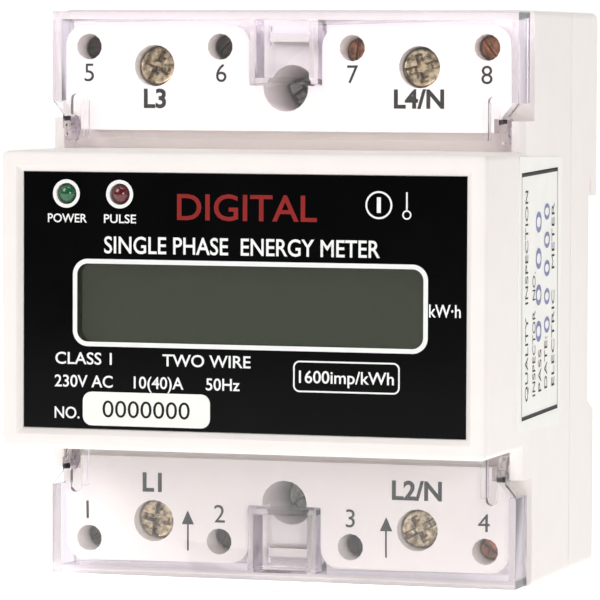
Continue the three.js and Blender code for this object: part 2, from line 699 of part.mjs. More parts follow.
function clipSpring() {
  const height = springTopZ - springLowZ - 2 * SPRING_WIRE - 2 * BOARD_GAP;
  class Helix extends THREE.Curve {
    getPoint(t, target = new THREE.Vector3()) {
      const angle = t * SPRING_TURNS * 2 * Math.PI;
      return target.set(
        SPRING_RADIUS * Math.cos(angle),
        (clipFrontY + clipBackY) / 2 + SPRING_RADIUS * Math.sin(angle),
        springLowZ + SPRING_WIRE + BOARD_GAP + height * t,
      );
    }
  }
  const section = new THREE.Shape();
  section.absarc(0, 0, SPRING_WIRE, 0, 2 * Math.PI);
  const geometry = new THREE.ExtrudeGeometry(section, {
    steps: SPRING_TURNS * 10,
    curveSegments: 3,
    extrudePath: new Helix(),
  });
  return toSolid(geometry);
}

// ---- Terminal covers ---------------------------------------------------------------------
function terminalCover() {
  const lip = nose + COVER_LIP;
  const slotTop = nose + SLOT_LENGTH;
  const shoulderZ = nose + PAD_NOTCH + CHEEK_WIDTH + CLEARANCE;
  const right = [
    [slotInner, lip],
    [slotInner, slotTop, SLOT_WIDTH / 2],
    [armInner, slotTop, SLOT_WIDTH / 2],
    [armInner, pivotZ],
    [armOuter, pivotZ],
    [armOuter, shoulderZ - CHEEK_WIDTH],
    [coverSide, shoulderZ],
    [coverSide, coverTop, EDGE_RADIUS / 2],
  ];
  const left = right.map(([x, z, radius]) => [-x, z, radius]).reverse();
  const plate = alongY(outline([...right, ...left]), [coverY, coverInnerY]);

  const pocketLow = channelEnd + CLEARANCE;
  const pocketHalf = CHANNEL_HALF_WIDTH - CLEARANCE;
  const floorY = channelY - CLEARANCE;
  const pieces = [
    plate,
    block([-coverSide, coverSide], [coverY, coverBackY], [coverTop - COVER_WALL, coverTop]),
    block([-pocketHalf, pocketHalf], [coverY, floorY], [pocketLow, coverTop]),
  ];
  for (const sign of [-1, 1]) {
    const wallX = [sign * (coverSide - COVER_WALL), sign * coverSide];
    const ribX = [sign * (slotInner - 1), sign * slotInner];
    const armX = [sign * armInner, sign * armOuter];
    pieces.push(block(wallX, [coverY, coverBackY], [shoulderZ, coverTop]));
    pieces.push(block(ribX, [coverY, coverInnerY + 0.6], [lip, slotTop - 1]));
    pieces.push(block(armX, [coverY, coverY + ARM_DEPTH], [pivotZ, nose + PAD_NOTCH]));
    pieces.push(rod('x', EYE_RADIUS, armX, [pivotY, pivotZ], 20));
    pieces.push(rod('x', PIN_RADIUS, [armX[0], sign * (armOuter + PIN_LENGTH)], [pivotY, pivotZ], 12));
  }
  const pocket = block(
    [-pocketHalf + COVER_WALL, pocketHalf - COVER_WALL],
    [coverY - 1, floorY - COVER_WALL],
    [pocketLow + TAB_END_WALL, coverTop - COVER_WALL],
  );
  const catchEnd = top - CATCH_INSET;
  const catchWindow = block(
    [-CATCH_HALF_WIDTH - SLIP, CATCH_HALF_WIDTH + SLIP],
    [floorY - 2 * COVER_WALL, floorY + 1],
    [catchEnd - CATCH_LENGTH - CATCH_WINDOW_GAP, catchEnd + CLEARANCE],
  );
  return cut(joined(...pieces), pocket, catchWindow);
}

// ---- Nameplate, display window and stickers ----------------------------------------------
function windowOutline(gap) {
  const [wx, wz] = WINDOW_CENTRE;
  const halfX = WINDOW_WIDTH / 2 - gap;
  const halfZ = WINDOW_HEIGHT / 2 - gap;
  return rectangle([wx - halfX, wx + halfX], [wz - halfZ, wz + halfZ], WINDOW_RADIUS);
}

function nameplateFilm() {
  const halfX = PLATE_WIDTH / 2 - FILM_GAP;
  const halfZ = PLATE_HEIGHT / 2 - FILM_GAP;
  const sheet = block([-halfX, halfX], [plateY, filmBackY], [-halfZ, halfZ]);
  const holes = [LED_POWER_X, LED_PULSE_X].map((x) =>
    rod('y', LED_RING + FILM_GAP, [plateY - 1, filmBackY + 1], [x, LED_Z]));
  return cut(sheet, alongY(windowOutline(0), [plateY - 1, filmBackY + 1]), ...holes);
}

function sideLabel() {
  const [lengthY, lengthZ] = SIDE_LABEL_SIZE;
  const geometry = new THREE.BoxGeometry(STICKER_THICKNESS, lengthY, lengthZ);
  geometry.rotateX(SIDE_LABEL_TILT);
  geometry.translate(side + STICKER_THICKNESS / 2, -SIDE_LABEL_DEPTH, SIDE_LABEL_Z);
  return toSolid(geometry);
}

function serialLabel() {
  const [x, z] = SERIAL_CENTRE;
  const [width, height] = SERIAL_SIZE;
  return alongY(
    rectangle([x - width / 2, x + width / 2], [z - height / 2, z + height / 2], SERIAL_RADIUS),
    [plateY - STICKER_THICKNESS, plateY],
  );
}

function indicatorLed(x) {
  const baseY = displayBoardY - BOARD_GAP;
  const shoulderRadius = LED_RADIUS + LED_SHOULDER;
  const domeY = baseY - LED_LENGTH + LED_RADIUS;
  const dome = Array.from({ length: 5 }, (_, i) => {
    const angle = (i / 4) * (Math.PI / 2);
    return [LED_RADIUS * Math.sin(angle), domeY - LED_RADIUS * Math.cos(angle)];
  });
  const profile = [
    ...dome,
    [LED_RADIUS, baseY - 1],
    [shoulderRadius, baseY - 1],
    [shoulderRadius, baseY],
    [0, baseY],
  ];
  return turned(profile, [x, LED_Z], 14);
}

// ---- Conductors --------------------------------------------------------------------------
function terminalScrew({ x, z }) {
  const headY = padY + MAIN_HEAD_RECESS;
  const head = turned(
    [
      [0, headY],
      [MAIN_HEAD - 0.5, headY],
      [MAIN_HEAD, headY + 0.5],
      [MAIN_HEAD, headY + MAIN_HEAD_HEIGHT],
      [MAIN_SHANK, headY + MAIN_HEAD_HEIGHT],
      [MAIN_SHANK, -TONGUE_DEPTH - BOARD_GAP],
      [0, -TONGUE_DEPTH - BOARD_GAP],
    ],
    [x, z],
    20,
  );
  const slot = block([x - MAIN_HEAD - 1, x + MAIN_HEAD + 1], [headY - 1, headY + 1], [z - 0.5, z + 0.5]);
  const cross = block([x - 0.5, x + 0.5], [headY - 1, headY + 1], [z - 2, z + 2]);
  return cut(head, slot, cross);
}

function clampCage({ x, z }) {
  const body = block(
    [x - CAGE_HALF_WIDTH, x + CAGE_HALF_WIDTH],
    [cageFrontY, cageBackY],
    [z - CAGE_HALF_LENGTH, z + CAGE_HALF_LENGTH],
  );
  const eye = block(
    [x - wireHalfWidth, x + wireHalfWidth],
    [cageFrontY + CAGE_NUT_WALL, wireHigh],
    [z - CAGE_HALF_LENGTH - 1, z + CAGE_HALF_LENGTH + 1],
  );
  const threadSpan = [cageFrontY - 1, cageFrontY + CAGE_NUT_WALL + 1];
  const thread = rod('y', MAIN_SHANK + THREAD_CLEARANCE, threadSpan, [x, z]);
  return cut(body, eye, thread);
}

const tongueFrontY = -TONGUE_DEPTH;
const tongueBackY = tongueFrontY + BAR_THICKNESS;
const barFrontY = -BAR_REAR_DEPTH;
const barBackY = barFrontY + BAR_THICKNESS;
const barTip = mainZ + CAGE_HALF_LENGTH - CLEARANCE;
const barBend = blockInnerZ - CLEARANCE;

// A strip that leaves the shunt, turns to the front and ends as the tongue in the cage.
function lineBar(x) {
  const strip = outline([
    [barFrontY, SHUNT_HALF_LENGTH],
    [barBackY, SHUNT_HALF_LENGTH],
    [barBackY, barBend],
    [tongueBackY, barBend],
    [tongueBackY, barTip],
    [tongueFrontY, barTip],
    [tongueFrontY, barBend - BAR_THICKNESS],
    [barFrontY, barBend - BAR_THICKNESS],
  ]);
  return alongX(strip, [x - BAR_HALF_WIDTH, x + BAR_HALF_WIDTH]);
}

function neutralBar(x) {
  const half = lineBar(x);
  const middle = block(
    [x - BAR_HALF_WIDTH, x + BAR_HALF_WIDTH],
    [barFrontY, barBackY],
    [-SHUNT_HALF_LENGTH - 0.5, SHUNT_HALF_LENGTH + 0.5],
  );
  return joined(half, mirroredZ(half), middle);
}

function shuntElement(x) {
  const half = BAR_HALF_WIDTH - 0.6;
  const strip = block([x - half, x + half], [barFrontY, barBackY], [-SHUNT_HALF_LENGTH, SHUNT_HALF_LENGTH]);
  const pins = [-1, 1].map((sign) =>
    rod('y', 0.5, [barFrontY - 3, barFrontY + 0.5], [x, sign * (SHUNT_HALF_LENGTH - 1.5)], 12));
  return joined(strip, ...pins);
}

function auxScrew({ x, z }) {
  const headY = padY + AUX_HEAD_RECESS;
  const body = turned(
    [
      [0, headY],
      [AUX_HEAD - 0.3, headY],
      [AUX_HEAD, headY + 0.3],
      [AUX_HEAD, headY + AUX_HEAD_HEIGHT],
      [AUX_SHANK, headY + AUX_HEAD_HEIGHT],
      [AUX_SHANK, -AUX_WIRE_DEPTH - AUX_WIRE_RADIUS],
      [0, -AUX_WIRE_DEPTH - AUX_WIRE_RADIUS],
    ],
    [x, z],
    12,
  );
  const slot = block([x - AUX_HEAD - 1, x + AUX_HEAD + 1], [headY - 1, headY + 0.7], [z - 0.3, z + 0.3]);
  return cut(body, slot);
}

function auxSocket({ x, z }) {
  const end = Math.sign(z);
  const body = block(
    [x - AUX_BLOCK_HALF_WIDTH, x + AUX_BLOCK_HALF_WIDTH],
    [-AUX_BLOCK_FRONT_DEPTH, -AUX_BLOCK_REAR_DEPTH],
    [z - AUX_BLOCK_HALF_LENGTH, z + AUX_BLOCK_HALF_LENGTH],
  );
  const threadSpan = [-AUX_BLOCK_FRONT_DEPTH - 1, -AUX_WIRE_DEPTH];
  const thread = rod('y', AUX_SHANK + THREAD_CLEARANCE, threadSpan, [x, z], 12);
  const innerEnd = AUX_BLOCK_HALF_LENGTH - AUX_BLOCK_END_WALL;
  const wireSpan = [z - end * innerEnd, z + end * 2 * AUX_BLOCK_HALF_LENGTH];
  const wire = rod('z', AUX_WIRE_RADIUS, wireSpan, [x, -AUX_WIRE_DEPTH], 12);
  return cut(body, thread, wire);
}

function terminalBlock() {
  const outerZ = top - WALL - CLEARANCE;
  const halfX = side - WALL - CLEARANCE;
  const body = block([-halfX, halfX], [blockFrontY, blockRearY], [blockInnerZ, outerZ]);
  const cuts = [
    block(
      [-caseTubeRadius - CLEARANCE, caseTubeRadius + CLEARANCE],
      [blockFrontY - 1, blockRearY + 1],
      [blockInnerZ - 1, screwZ + caseTubeRadius + CLEARANCE],
    ),
  ];
  for (const x of [-mainX, mainX]) {
    const pocketX = [x - CAGE_HALF_WIDTH - SLIP, x + CAGE_HALF_WIDTH + SLIP];
    cuts.push(block(pocketX, [blockFrontY - 1, cageBackY + CLEARANCE],
      [mainZ - CAGE_HALF_LENGTH - SLIP, mainZ + CAGE_HALF_LENGTH + SLIP]));
    cuts.push(block([x - wireHalfWidth, x + wireHalfWidth], [wireLow, wireHigh], [mainZ, top]));
    cuts.push(block([x - BAR_HALF_WIDTH - CLEARANCE, x + BAR_HALF_WIDTH + CLEARANCE],
      [blockFrontY - 1, tongueBackY + CLEARANCE], [blockInnerZ - 1, mainZ]));
  }
  for (const x of auxColumns) {
    cuts.push(block([x - AUX_BLOCK_HALF_WIDTH - SLIP, x + AUX_BLOCK_HALF_WIDTH + SLIP],
      [blockFrontY - 1, -AUX_BLOCK_REAR_DEPTH + SLIP],
      [auxZ - AUX_BLOCK_HALF_LENGTH - SLIP, auxZ + AUX_BLOCK_HALF_LENGTH + SLIP]));
    cuts.push(rod('z', AUX_WIRE_RADIUS, [auxZ, top], [x, -AUX_WIRE_DEPTH], 10));
  }
  return cut(body, ...cuts);
}

function caseScrew() {
  const headY = caseSeatY - CASE_SCREW_HEAD_HEIGHT;
  const body = turned(
    [
      [0, headY],
      [CASE_SCREW_HEAD - 0.7, headY],
      [CASE_SCREW_HEAD, headY + 0.7],
      [CASE_SCREW_HEAD, caseSeatY - 0.05],
      [CASE_SCREW_SHANK, caseSeatY - 0.05],
      [CASE_SCREW_SHANK, caseSeatY + CASE_SCREW_LENGTH - 1],
      [0.4, caseSeatY + CASE_SCREW_LENGTH],
      [0, caseSeatY + CASE_SCREW_LENGTH],
    ],
    [0, screwZ],
    18,
  );
  const recess = [[1.7, 0.4], [0.4, 1.7]].map(([halfX, halfZ]) =>
    block([-halfX, halfX], [headY - 1, headY + 1.3], [screwZ - halfZ, screwZ + halfZ]));
  return cut(body, ...recess);
}

// ---- Boards and their parts --------------------------------------------------------------
function displayBoard() {
  const halfZ = nose - WALL - 1;
  return block([-BOARD_HALF_X, BOARD_HALF_X], [displayBoardY, displayBoardBackY], [-halfZ, halfZ]);
}

function mainBoard() {
  return block([-BOARD_HALF_X, BOARD_HALF_X], [mainBoardY, mainBoardY + BOARD_THICKNESS],
    [-mainBoardHalfZ, mainBoardHalfZ]);
}

function screenPiece(front, back, overlap) {
  const [wx, wz] = WINDOW_CENTRE;
  const halfX = WINDOW_WIDTH / 2 + overlap;
  const halfZ = WINDOW_HEIGHT / 2 + overlap;
  return block([wx - halfX, wx + halfX], [front, back], [wz - halfZ, wz + halfZ]);
}

// A flat package with gull-wing leads on two sides, standing off the face at y.
function leadedChip({ centre: [x, z], size: [sizeX, sizeZ], thickness, leads }, y, facing) {
  const foot = y + facing * BOARD_GAP;
  const halfX = sizeX / 2;
  const body = block(
    [x - halfX, x + halfX],
    [foot + facing * CHIP_STANDOFF, foot + facing * thickness],
    [z - sizeZ / 2, z + sizeZ / 2],
  );
  const pitch = sizeZ / (leads + 0.5);
  const pins = Array.from({ length: leads }, (_, i) => {
    const pinZ = z + (i - (leads - 1) / 2) * pitch;
    return block(
      [x - halfX - LEAD_REACH, x + halfX + LEAD_REACH],
      [foot, foot + facing * LEAD_HEIGHT],
      [pinZ - pitch / 4, pinZ + pitch / 4],
    );
  });
  return joined(body, ...pins);
}

const onMain = mainBoardY - BOARD_GAP;

// A rounded box lying on the main board.
const boxedPart = ({ xs, zs, height, radius }) =>
  alongY(rectangle(xs, zs, radius), [onMain - height, onMain]);

function canCapacitor() {
  const { centre, radius, height, bevel } = CAN;
  const topY = onMain - height;
  const profile = [[0, topY], [radius - bevel, topY], [radius, topY + bevel], [radius, onMain], [0, onMain]];
  return turned(profile, centre, 18);
}

function varistor() {
  const { xs, z, radius, centreHeight } = VARISTOR;
  const disc = rod('x', radius, xs, [onMain - centreHeight, z], 20);
  const legs = [-1, 1].map((sign) => {
    const x = sign < 0 ? xs[0] + VARISTOR_LEG.inset : xs[1] - VARISTOR_LEG.inset;
    const legZ = z + sign * VARISTOR_LEG.spread;
    return rod('y', VARISTOR_LEG.radius, [onMain - VARISTOR_LEG.height, onMain], [x, legZ], 8);
  });
  return joined(disc, ...legs);
}

function boardHeader() {
  const halfX = (HEADER_PINS * HEADER_PITCH) / 2 + HEADER_END;
  const shellZ = [HEADER_Z - HEADER_HALF_WIDTH, HEADER_Z + HEADER_HALF_WIDTH];
  const pinZ = [HEADER_Z - HEADER_PIN_HALF, HEADER_Z + HEADER_PIN_HALF];
  const frontEnd = displayBoardBackY + BOARD_GAP;
  const spacer = block([-halfX, halfX], [onMain, mainBoardY - HEADER_SPACER], shellZ);
  const upper = block([-halfX, halfX], [frontEnd, displayBoardBackY + HEADER_SHELL], shellZ);
  const pins = Array.from({ length: HEADER_PINS }, (_, i) => {
    const x = (i - (HEADER_PINS - 1) / 2) * HEADER_PITCH;
    return block([x - HEADER_PIN_HALF, x + HEADER_PIN_HALF], [frontEnd, onMain], pinZ);
  });
  return joined(spacer, upper, ...pins);
}

// ---- Assembly ----------------------------------------------------------------------------
addPart('base_housing', baseHousing(), materials.housing);
addPart('front_case', frontCase(), materials.housing);
addPart('din_clip', dinClip(), materials.clip);
addPart('clip_spring', clipSpring(), materials.spring);

const cover = terminalCover();
addPart('upper_terminal_cover', cover, materials.cover);
addPart('lower_terminal_cover', mirroredZ(cover), materials.cover);

addPart('nameplate_film', nameplateFilm(), materials.film);
addPart('display_window', alongY(windowOutline(FILM_GAP), [plateY, noseInnerY]), materials.lens);
addPart('serial_label', serialLabel(), materials.paper);
addPart('side_label', sideLabel(), materials.paper);

const screw = caseScrew();
addPart('upper_case_screw', screw, materials.steel);
addPart('lower_case_screw', mirroredZ(screw), materials.steel);

const insulator = terminalBlock();
addPart('upper_terminal_block', insulator, materials.insulator);
addPart('lower_terminal_block', mirroredZ(insulator), materials.insulator);

for (const terminal of mainTerminals) {
  addPart(`${terminal.name}_screw`, terminalScrew(terminal), materials.nickel);
  addPart(`${terminal.name}_cage`, clampCage(terminal), materials.steel);
}
for (const terminal of auxTerminals) {
  addPart(`${terminal.name}_screw`, auxScrew(terminal), materials.copper);
  addPart(`${terminal.name}_socket`, auxSocket(terminal), materials.brass);
}

addPart('line_in_bar', mirroredZ(lineBar(-mainX)), materials.copper);
addPart('line_out_bar', lineBar(-mainX), materials.copper);
addPart('shunt_element', shuntElement(-mainX), materials.manganin);
addPart('neutral_bar', neutralBar(mainX), materials.copper);

addPart('lcd_panel', screenPiece(noseInnerY + BOARD_GAP, lcdBackY, LCD_OVERLAP), materials.lcd);
addPart('backlight_panel', screenPiece(lcdBackY + BOARD_GAP, backlightBackY, 1), materials.backlight);
addPart('power_led', indicatorLed(LED_POWER_X), materials.green);
addPart('pulse_led', indicatorLed(LED_PULSE_X), materials.red);
addPart('display_board', displayBoard(), materials.board);
addPart('main_board', mainBoard(), materials.board);
addPart('board_header', boardHeader(), materials.chip);
addPart('dropper_capacitor', boxedPart(DROPPER), materials.film_capacitor);
addPart('smoothing_capacitor', canCapacitor(), materials.can);
addPart('surge_varistor', varistor(), materials.varistor);
addPart('metering_chip', leadedChip(METERING_CHIP, mainBoardY, -1), materials.chip);
addPart('microcontroller', leadedChip(MICROCONTROLLER, displayBoardBackY, 1), materials.chip);
addPart('pulse_optocoupler', leadedChip(OPTOCOUPLER, mainBoardY, -1), materials.optocoupler);
addPart('clock_crystal', boxedPart(CRYSTAL), materials.crystal);

export default meter;
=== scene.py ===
"""Looks of a single-phase electricity meter for a 35 mm rail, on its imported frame."""

import math

import bmesh
import bpy
import numpy as np
from bpy.props import FloatProperty, FloatVectorProperty, PointerProperty
from mathutils import Matrix, Vector


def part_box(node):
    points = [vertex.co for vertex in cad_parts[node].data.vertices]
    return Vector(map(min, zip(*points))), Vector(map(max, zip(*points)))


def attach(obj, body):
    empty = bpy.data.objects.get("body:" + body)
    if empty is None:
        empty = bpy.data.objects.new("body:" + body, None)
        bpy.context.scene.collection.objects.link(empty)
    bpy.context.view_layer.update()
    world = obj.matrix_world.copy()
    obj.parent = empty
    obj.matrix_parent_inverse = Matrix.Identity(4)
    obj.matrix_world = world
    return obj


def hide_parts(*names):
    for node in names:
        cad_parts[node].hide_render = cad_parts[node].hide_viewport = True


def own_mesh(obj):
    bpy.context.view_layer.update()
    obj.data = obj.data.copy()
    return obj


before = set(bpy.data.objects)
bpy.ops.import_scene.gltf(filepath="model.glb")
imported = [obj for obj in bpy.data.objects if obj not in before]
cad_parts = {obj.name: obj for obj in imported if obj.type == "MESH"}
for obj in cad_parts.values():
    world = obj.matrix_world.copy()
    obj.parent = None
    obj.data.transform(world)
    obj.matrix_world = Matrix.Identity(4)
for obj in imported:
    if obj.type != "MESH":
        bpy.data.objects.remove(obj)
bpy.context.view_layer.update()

bl_info = {
    "name": "Electricity meter",
    "version": (1, 0, 0),
    "blender": (4, 5, 0),
    "location": "View3D > Sidebar > Meter",
    "description": "Builds the looks of a rail-mounted electricity meter",
    "category": "Object",
}

MM = 0.001

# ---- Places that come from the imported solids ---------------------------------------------
WINDOW_LOW, WINDOW_HIGH = (np.array(corner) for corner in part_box("display_window"))
SERIAL_LOW, SERIAL_HIGH = (np.array(corner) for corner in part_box("serial_label"))
STICKER_LOW, STICKER_HIGH = (np.array(corner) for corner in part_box("side_label"))
FILM_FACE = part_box("nameplate_film")[0].y
COVER_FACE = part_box("upper_terminal_cover")[0].y
CLIP_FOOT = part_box("din_clip")[0].z

# ---- Sizes and places of the pieces made here ---------------------------------------------
# The terminal faces lie this far behind the covers' outer faces.
TERMINAL_DEPTH = 2.5 * MM
TERMINAL_FACE = COVER_FACE + TERMINAL_DEPTH
INK = 0.03 * MM
COVER_EDGE = 0.1 * MM
PAPER_EDGE = 0.005 * MM
MAIN_NAMES = ("line_in", "neutral_in", "line_out", "neutral_out")
AUX_NAMES = tuple(f"auxiliary_{i}" for i in range(1, 9))

# Screws: radius of head and shank, height of the head and rounding of its rim.
MAIN_SCREW = {
    "head": 3.0 * MM, "shank": 2.0 * MM, "head_height": 2.3 * MM, "rounding": 0.45 * MM}
AUX_SCREW = {
    "head": 1.75 * MM, "shank": 1.25 * MM, "head_height": 1.2 * MM, "rounding": 0.25 * MM}
CASE_SCREW = {
    "head": 3.2 * MM, "shank": 1.5 * MM, "head_height": 2.2 * MM, "rounding": 0.5 * MM}
HEAD_CROWN = 0.12 * MM
POLE_RADIUS = 1e-6

# How far round each screw was left by its last tightening, in radians.
MAIN_TURNS = {"line_in": 1.35, "neutral_in": 0.5, "line_out": 1.1, "neutral_out": 0.25}
AUX_FIRST_TURN, AUX_NEXT_TURN = 0.4, 0.7
CASE_TURN = 0.6
COPPER_SCREWS = ("auxiliary_4", "auxiliary_7", "auxiliary_8")

# Recesses: the combination head's arm and middle are shares of the recess size.
MAIN_RECESS, CASE_RECESS = 3.0 * MM, 2.6 * MM
ARM_SHARE, MIDDLE_SHARE = 0.7, 0.45
SLOT_HALF_WIDTH, SLOT_DEPTH, MIDDLE_DEPTH = 0.5 * MM, 1.2 * MM, 0.5 * MM
SLOT_WALL, ARM_END_WALL, MIDDLE_WALL = 0.12 * MM, 0.2 * MM, 0.5 * MM
AUX_SLOT_HALF_WIDTH, AUX_SLOT_DEPTH = 0.3 * MM, 0.6 * MM

# Indicator lamps: each is a dome on a flange, with a printed ring around it.
LAMPS = {"power_led": "green_lamp", "pulse_led": "red_lamp"}
DOME_RADIUS, FLANGE_RADIUS, FLANGE_THICKNESS = 1.5 * MM, 1.9 * MM, 1.0 * MM
RING_RADIUS, RING_WIDTH, RING_DEPTH = 2.15 * MM, 0.5 * MM, 0.2 * MM

# Printed letters: how far an outline is grown, for letters one unit high.
WEIGHT = 0.012

# Terminal legends: the text and the x and z of its middle, in millimetres.
TERMINAL_NUMBERS = (
    ("5", -32.0, 34.3), ("6", -10.4, 34.3), ("7", 10.7, 34.3), ("8", 31.9, 34.2),
    ("1", -32.2, -33.9), ("2", -10.5, -34.0), ("3", 10.6, -33.9), ("4", 31.8, -33.9))
TERMINAL_WORDS = (
    ("L3", -21.2, 30.3), ("L4/N", 21.2, 30.5), ("L1", -21.5, -29.3), ("L2/N", 21.2, -29.3))
# A feed arrow, its tip at the given places: half widths of head and stem, and their ends.
ARROW_PLACES = ((-15.7, -33.6), (16.35, -33.5))
ARROW_HEAD, ARROW_STEM, HEAD_END, STEM_END = 1.0, 0.14, -2.2, -6.3

# Stage: the sheet's front end, where its curve starts, the curve's radius, top and half width.
SHEET_FRONT, SHEET_BEND, SHEET_RADIUS, SHEET_TOP, SHEET_HALF = -0.55, 1.2, 0.8, 3.5, 4
FLOOR_GAP = 0.1 * MM
# The room's brightness, and how bright it looks past the floor and through clear plastic.
ROOM_DIM, ROOM_SEEN = 0.16, 1.0
# Lamps: name, place and side in metres, and power as a share of the key light's.
STUDIO_LAMPS = (
    ("key", (-0.8, -0.75, 0.75), 0.7, 1.0),
    ("fill", (1.0, -0.35, 0.35), 0.6, 0.06),
    ("top", (0.05, -0.15, 1.0), 0.6, 0.5),
    ("low", (0.5, -0.8, 0.12), 0.3, 0.26),
)
CAMERA_PLACE = (0.21001, -0.71485, 0.03714)
# How far the camera stands round from the front, above it, and leans, in degrees.
CAMERA_YAW, CAMERA_PITCH, CAMERA_ROLL = 17.118, 3.053, 0.2307
CAMERA_LENS, CAMERA_SENSOR = 275.97, 36.0


def linear(code):
    """The linear red, green, blue and alpha of an sRGB hex colour."""
    parts = [int(code[i : i + 2], 16) / 255 for i in (1, 3, 5)]
    return [c / 12.92 if c <= 0.04045 else ((c + 0.055) / 1.055) ** 2.4 for c in parts] + [1.0]


# ---- Settings ----------------------------------------------------------------------------
def colour_property(name, description, code):
    return FloatVectorProperty(
        name=name, description=description, subtype="COLOR", size=4, min=0, max=1,
        default=linear(code),
    )


class MeterHousingSettings(bpy.types.PropertyGroup):
    colour: colour_property("Housing colour", "Colour of the moulded housing", "#f5eeea")
    edge: FloatProperty(
        name="Edge rounding", description="Radius of the moulded edges",
        default=0.16 * MM, subtype="DISTANCE", unit="LENGTH",
    )


class MeterCoverSettings(bpy.types.PropertyGroup):
    tint: colour_property("Cover tint", "Tint of the clear covers seen face on", "#fefdfe")
    edge_tint: colour_property("Cover edge tint", "Tint seen through a cut edge", "#e2dde8")


class MeterPrintSettings(bpy.types.PropertyGroup):
    numbers: FloatProperty(
        name="Terminal numbers", description="Height of the auxiliary terminal numbers",
        default=2.75 * MM, subtype="DISTANCE", unit="LENGTH",
    )
    names: FloatProperty(
        name="Terminal names", description="Height of the main terminal names",
        default=3.0 * MM, subtype="DISTANCE", unit="LENGTH",
    )
    heading: FloatProperty(
        name="Heading", description="Height of the nameplate heading",
        default=2.55 * MM, subtype="DISTANCE", unit="LENGTH",
    )
    word_colour: colour_property("Word colour", "Colour of the upper word", "#8c1a17")


class MeterStageSettings(bpy.types.PropertyGroup):
    floor: colour_property("Floor colour", "Colour of the floor and the backdrop", "#f4f4f4")
    key: FloatProperty(
        name="Key light", description="Power of the large front light", default=6.4,
        subtype="POWER", unit="POWER",
    )


# ---- Materials ---------------------------------------------------------------------------
def add_node(tree, kind, values=None, links=None, stops=None, **settings):
    """Adds a node with its settings, socket values and incoming links."""
    node = tree.nodes.new(kind)
    for name, value in settings.items():
        setattr(node, name, value)
    for name, value in (values or {}).items():
        node.inputs[name].default_value = value
    for name, source in (links or {}).items():
        tree.links.new(source, node.inputs[name])
    for element, (place, colour) in zip(node.color_ramp.elements if stops else (), stops or ()):
        element.position = place
        element.color = colour
    return node


def new_material(name, display):
    material = bpy.data.materials.new(name)
    material.use_nodes = True
    material.node_tree.nodes.clear()
    material.diffuse_color = display
    return material


def shade(colour, amount):
    return [min(1.0, c * amount) for c in colour[:3]] + [1.0]


def grained(name, colour, roughness, grain, depth, spread=0.03, **extra):
    """A surface with slight mottling, roughness that varies and a fine grain.

    colour changes by the share spread over patches twelve grains wide, roughness by 0.06,
    and the grain of width grain stands depth high.
    """
    material = new_material(name, colour)
    tree = material.node_tree
    place = add_node(tree, "ShaderNodeTexCoord").outputs["Object"]
    patches = add_node(
        tree, "ShaderNodeTexNoise", {"Scale": 1 / (12 * grain), "Detail": 3.0}, {"Vector": place})
    fine = add_node(
        tree, "ShaderNodeTexNoise", {"Scale": 1 / grain, "Detail": 2.0}, {"Vector": place})
    tone = add_node(
        tree, "ShaderNodeValToRGB", links={"Fac": patches.outputs["Fac"]},
        stops=[(0.3, shade(colour, 1 - spread)), (0.7, shade(colour, 1 + spread))])
    gloss = add_node(
        tree, "ShaderNodeMapRange",
        {"To Min": max(0.02, roughness - 0.06), "To Max": roughness + 0.06},
        {"Value": patches.outputs["Fac"]})
    bump = add_node(
        tree, "ShaderNodeBump", {"Strength": 0.5, "Distance": depth},
        {"Height": fine.outputs["Fac"]})
    surface = add_node(
        tree, "ShaderNodeBsdfPrincipled", extra,
        {"Base Color": tone.outputs["Color"], "Roughness": gloss.outputs["Result"],
         "Normal": bump.outputs["Normal"]})
    add_node(tree, "ShaderNodeOutputMaterial", links={"Surface": surface.outputs["BSDF"]})
    return material


def turned_metal(name, colour, tarnish, roughness, groove):
    """Metal with blotches of tarnish, rougher where dark, and fine marks, groove wide."""
    material = new_material(name, colour)
    tree = material.node_tree
    place = add_node(tree, "ShaderNodeTexCoord").outputs["Object"]
    blotch = add_node(
        tree, "ShaderNodeTexNoise", {"Scale": 1 / (1.1 * MM), "Detail": 5.0, "Roughness": 0.65},
        {"Vector": place})
    tone = add_node(
        tree, "ShaderNodeValToRGB", links={"Fac": blotch.outputs["Fac"]},
        stops=[(0.38, tarnish), (0.6, colour)])
    gloss = add_node(
        tree, "ShaderNodeMapRange",
        {"To Min": roughness + 0.18, "To Max": max(0.05, roughness - 0.1)},
        {"Value": blotch.outputs["Fac"]})
    marks = add_node(
        tree, "ShaderNodeTexNoise", {"Scale": 1 / groove, "Detail": 2.0}, {"Vector": place})
    bump = add_node(
        tree, "ShaderNodeBump", {"Strength": 0.35, "Distance": 0.02 * MM},
        {"Height": marks.outputs["Fac"]})
    surface = add_node(
        tree, "ShaderNodeBsdfPrincipled", {"Metallic": 1.0},
        {"Base Color": tone.outputs["Color"], "Roughness": gloss.outputs["Result"],
         "Normal": bump.outputs["Normal"]})
    add_node(tree, "ShaderNodeOutputMaterial", links={"Surface": surface.outputs["BSDF"]})
    return material


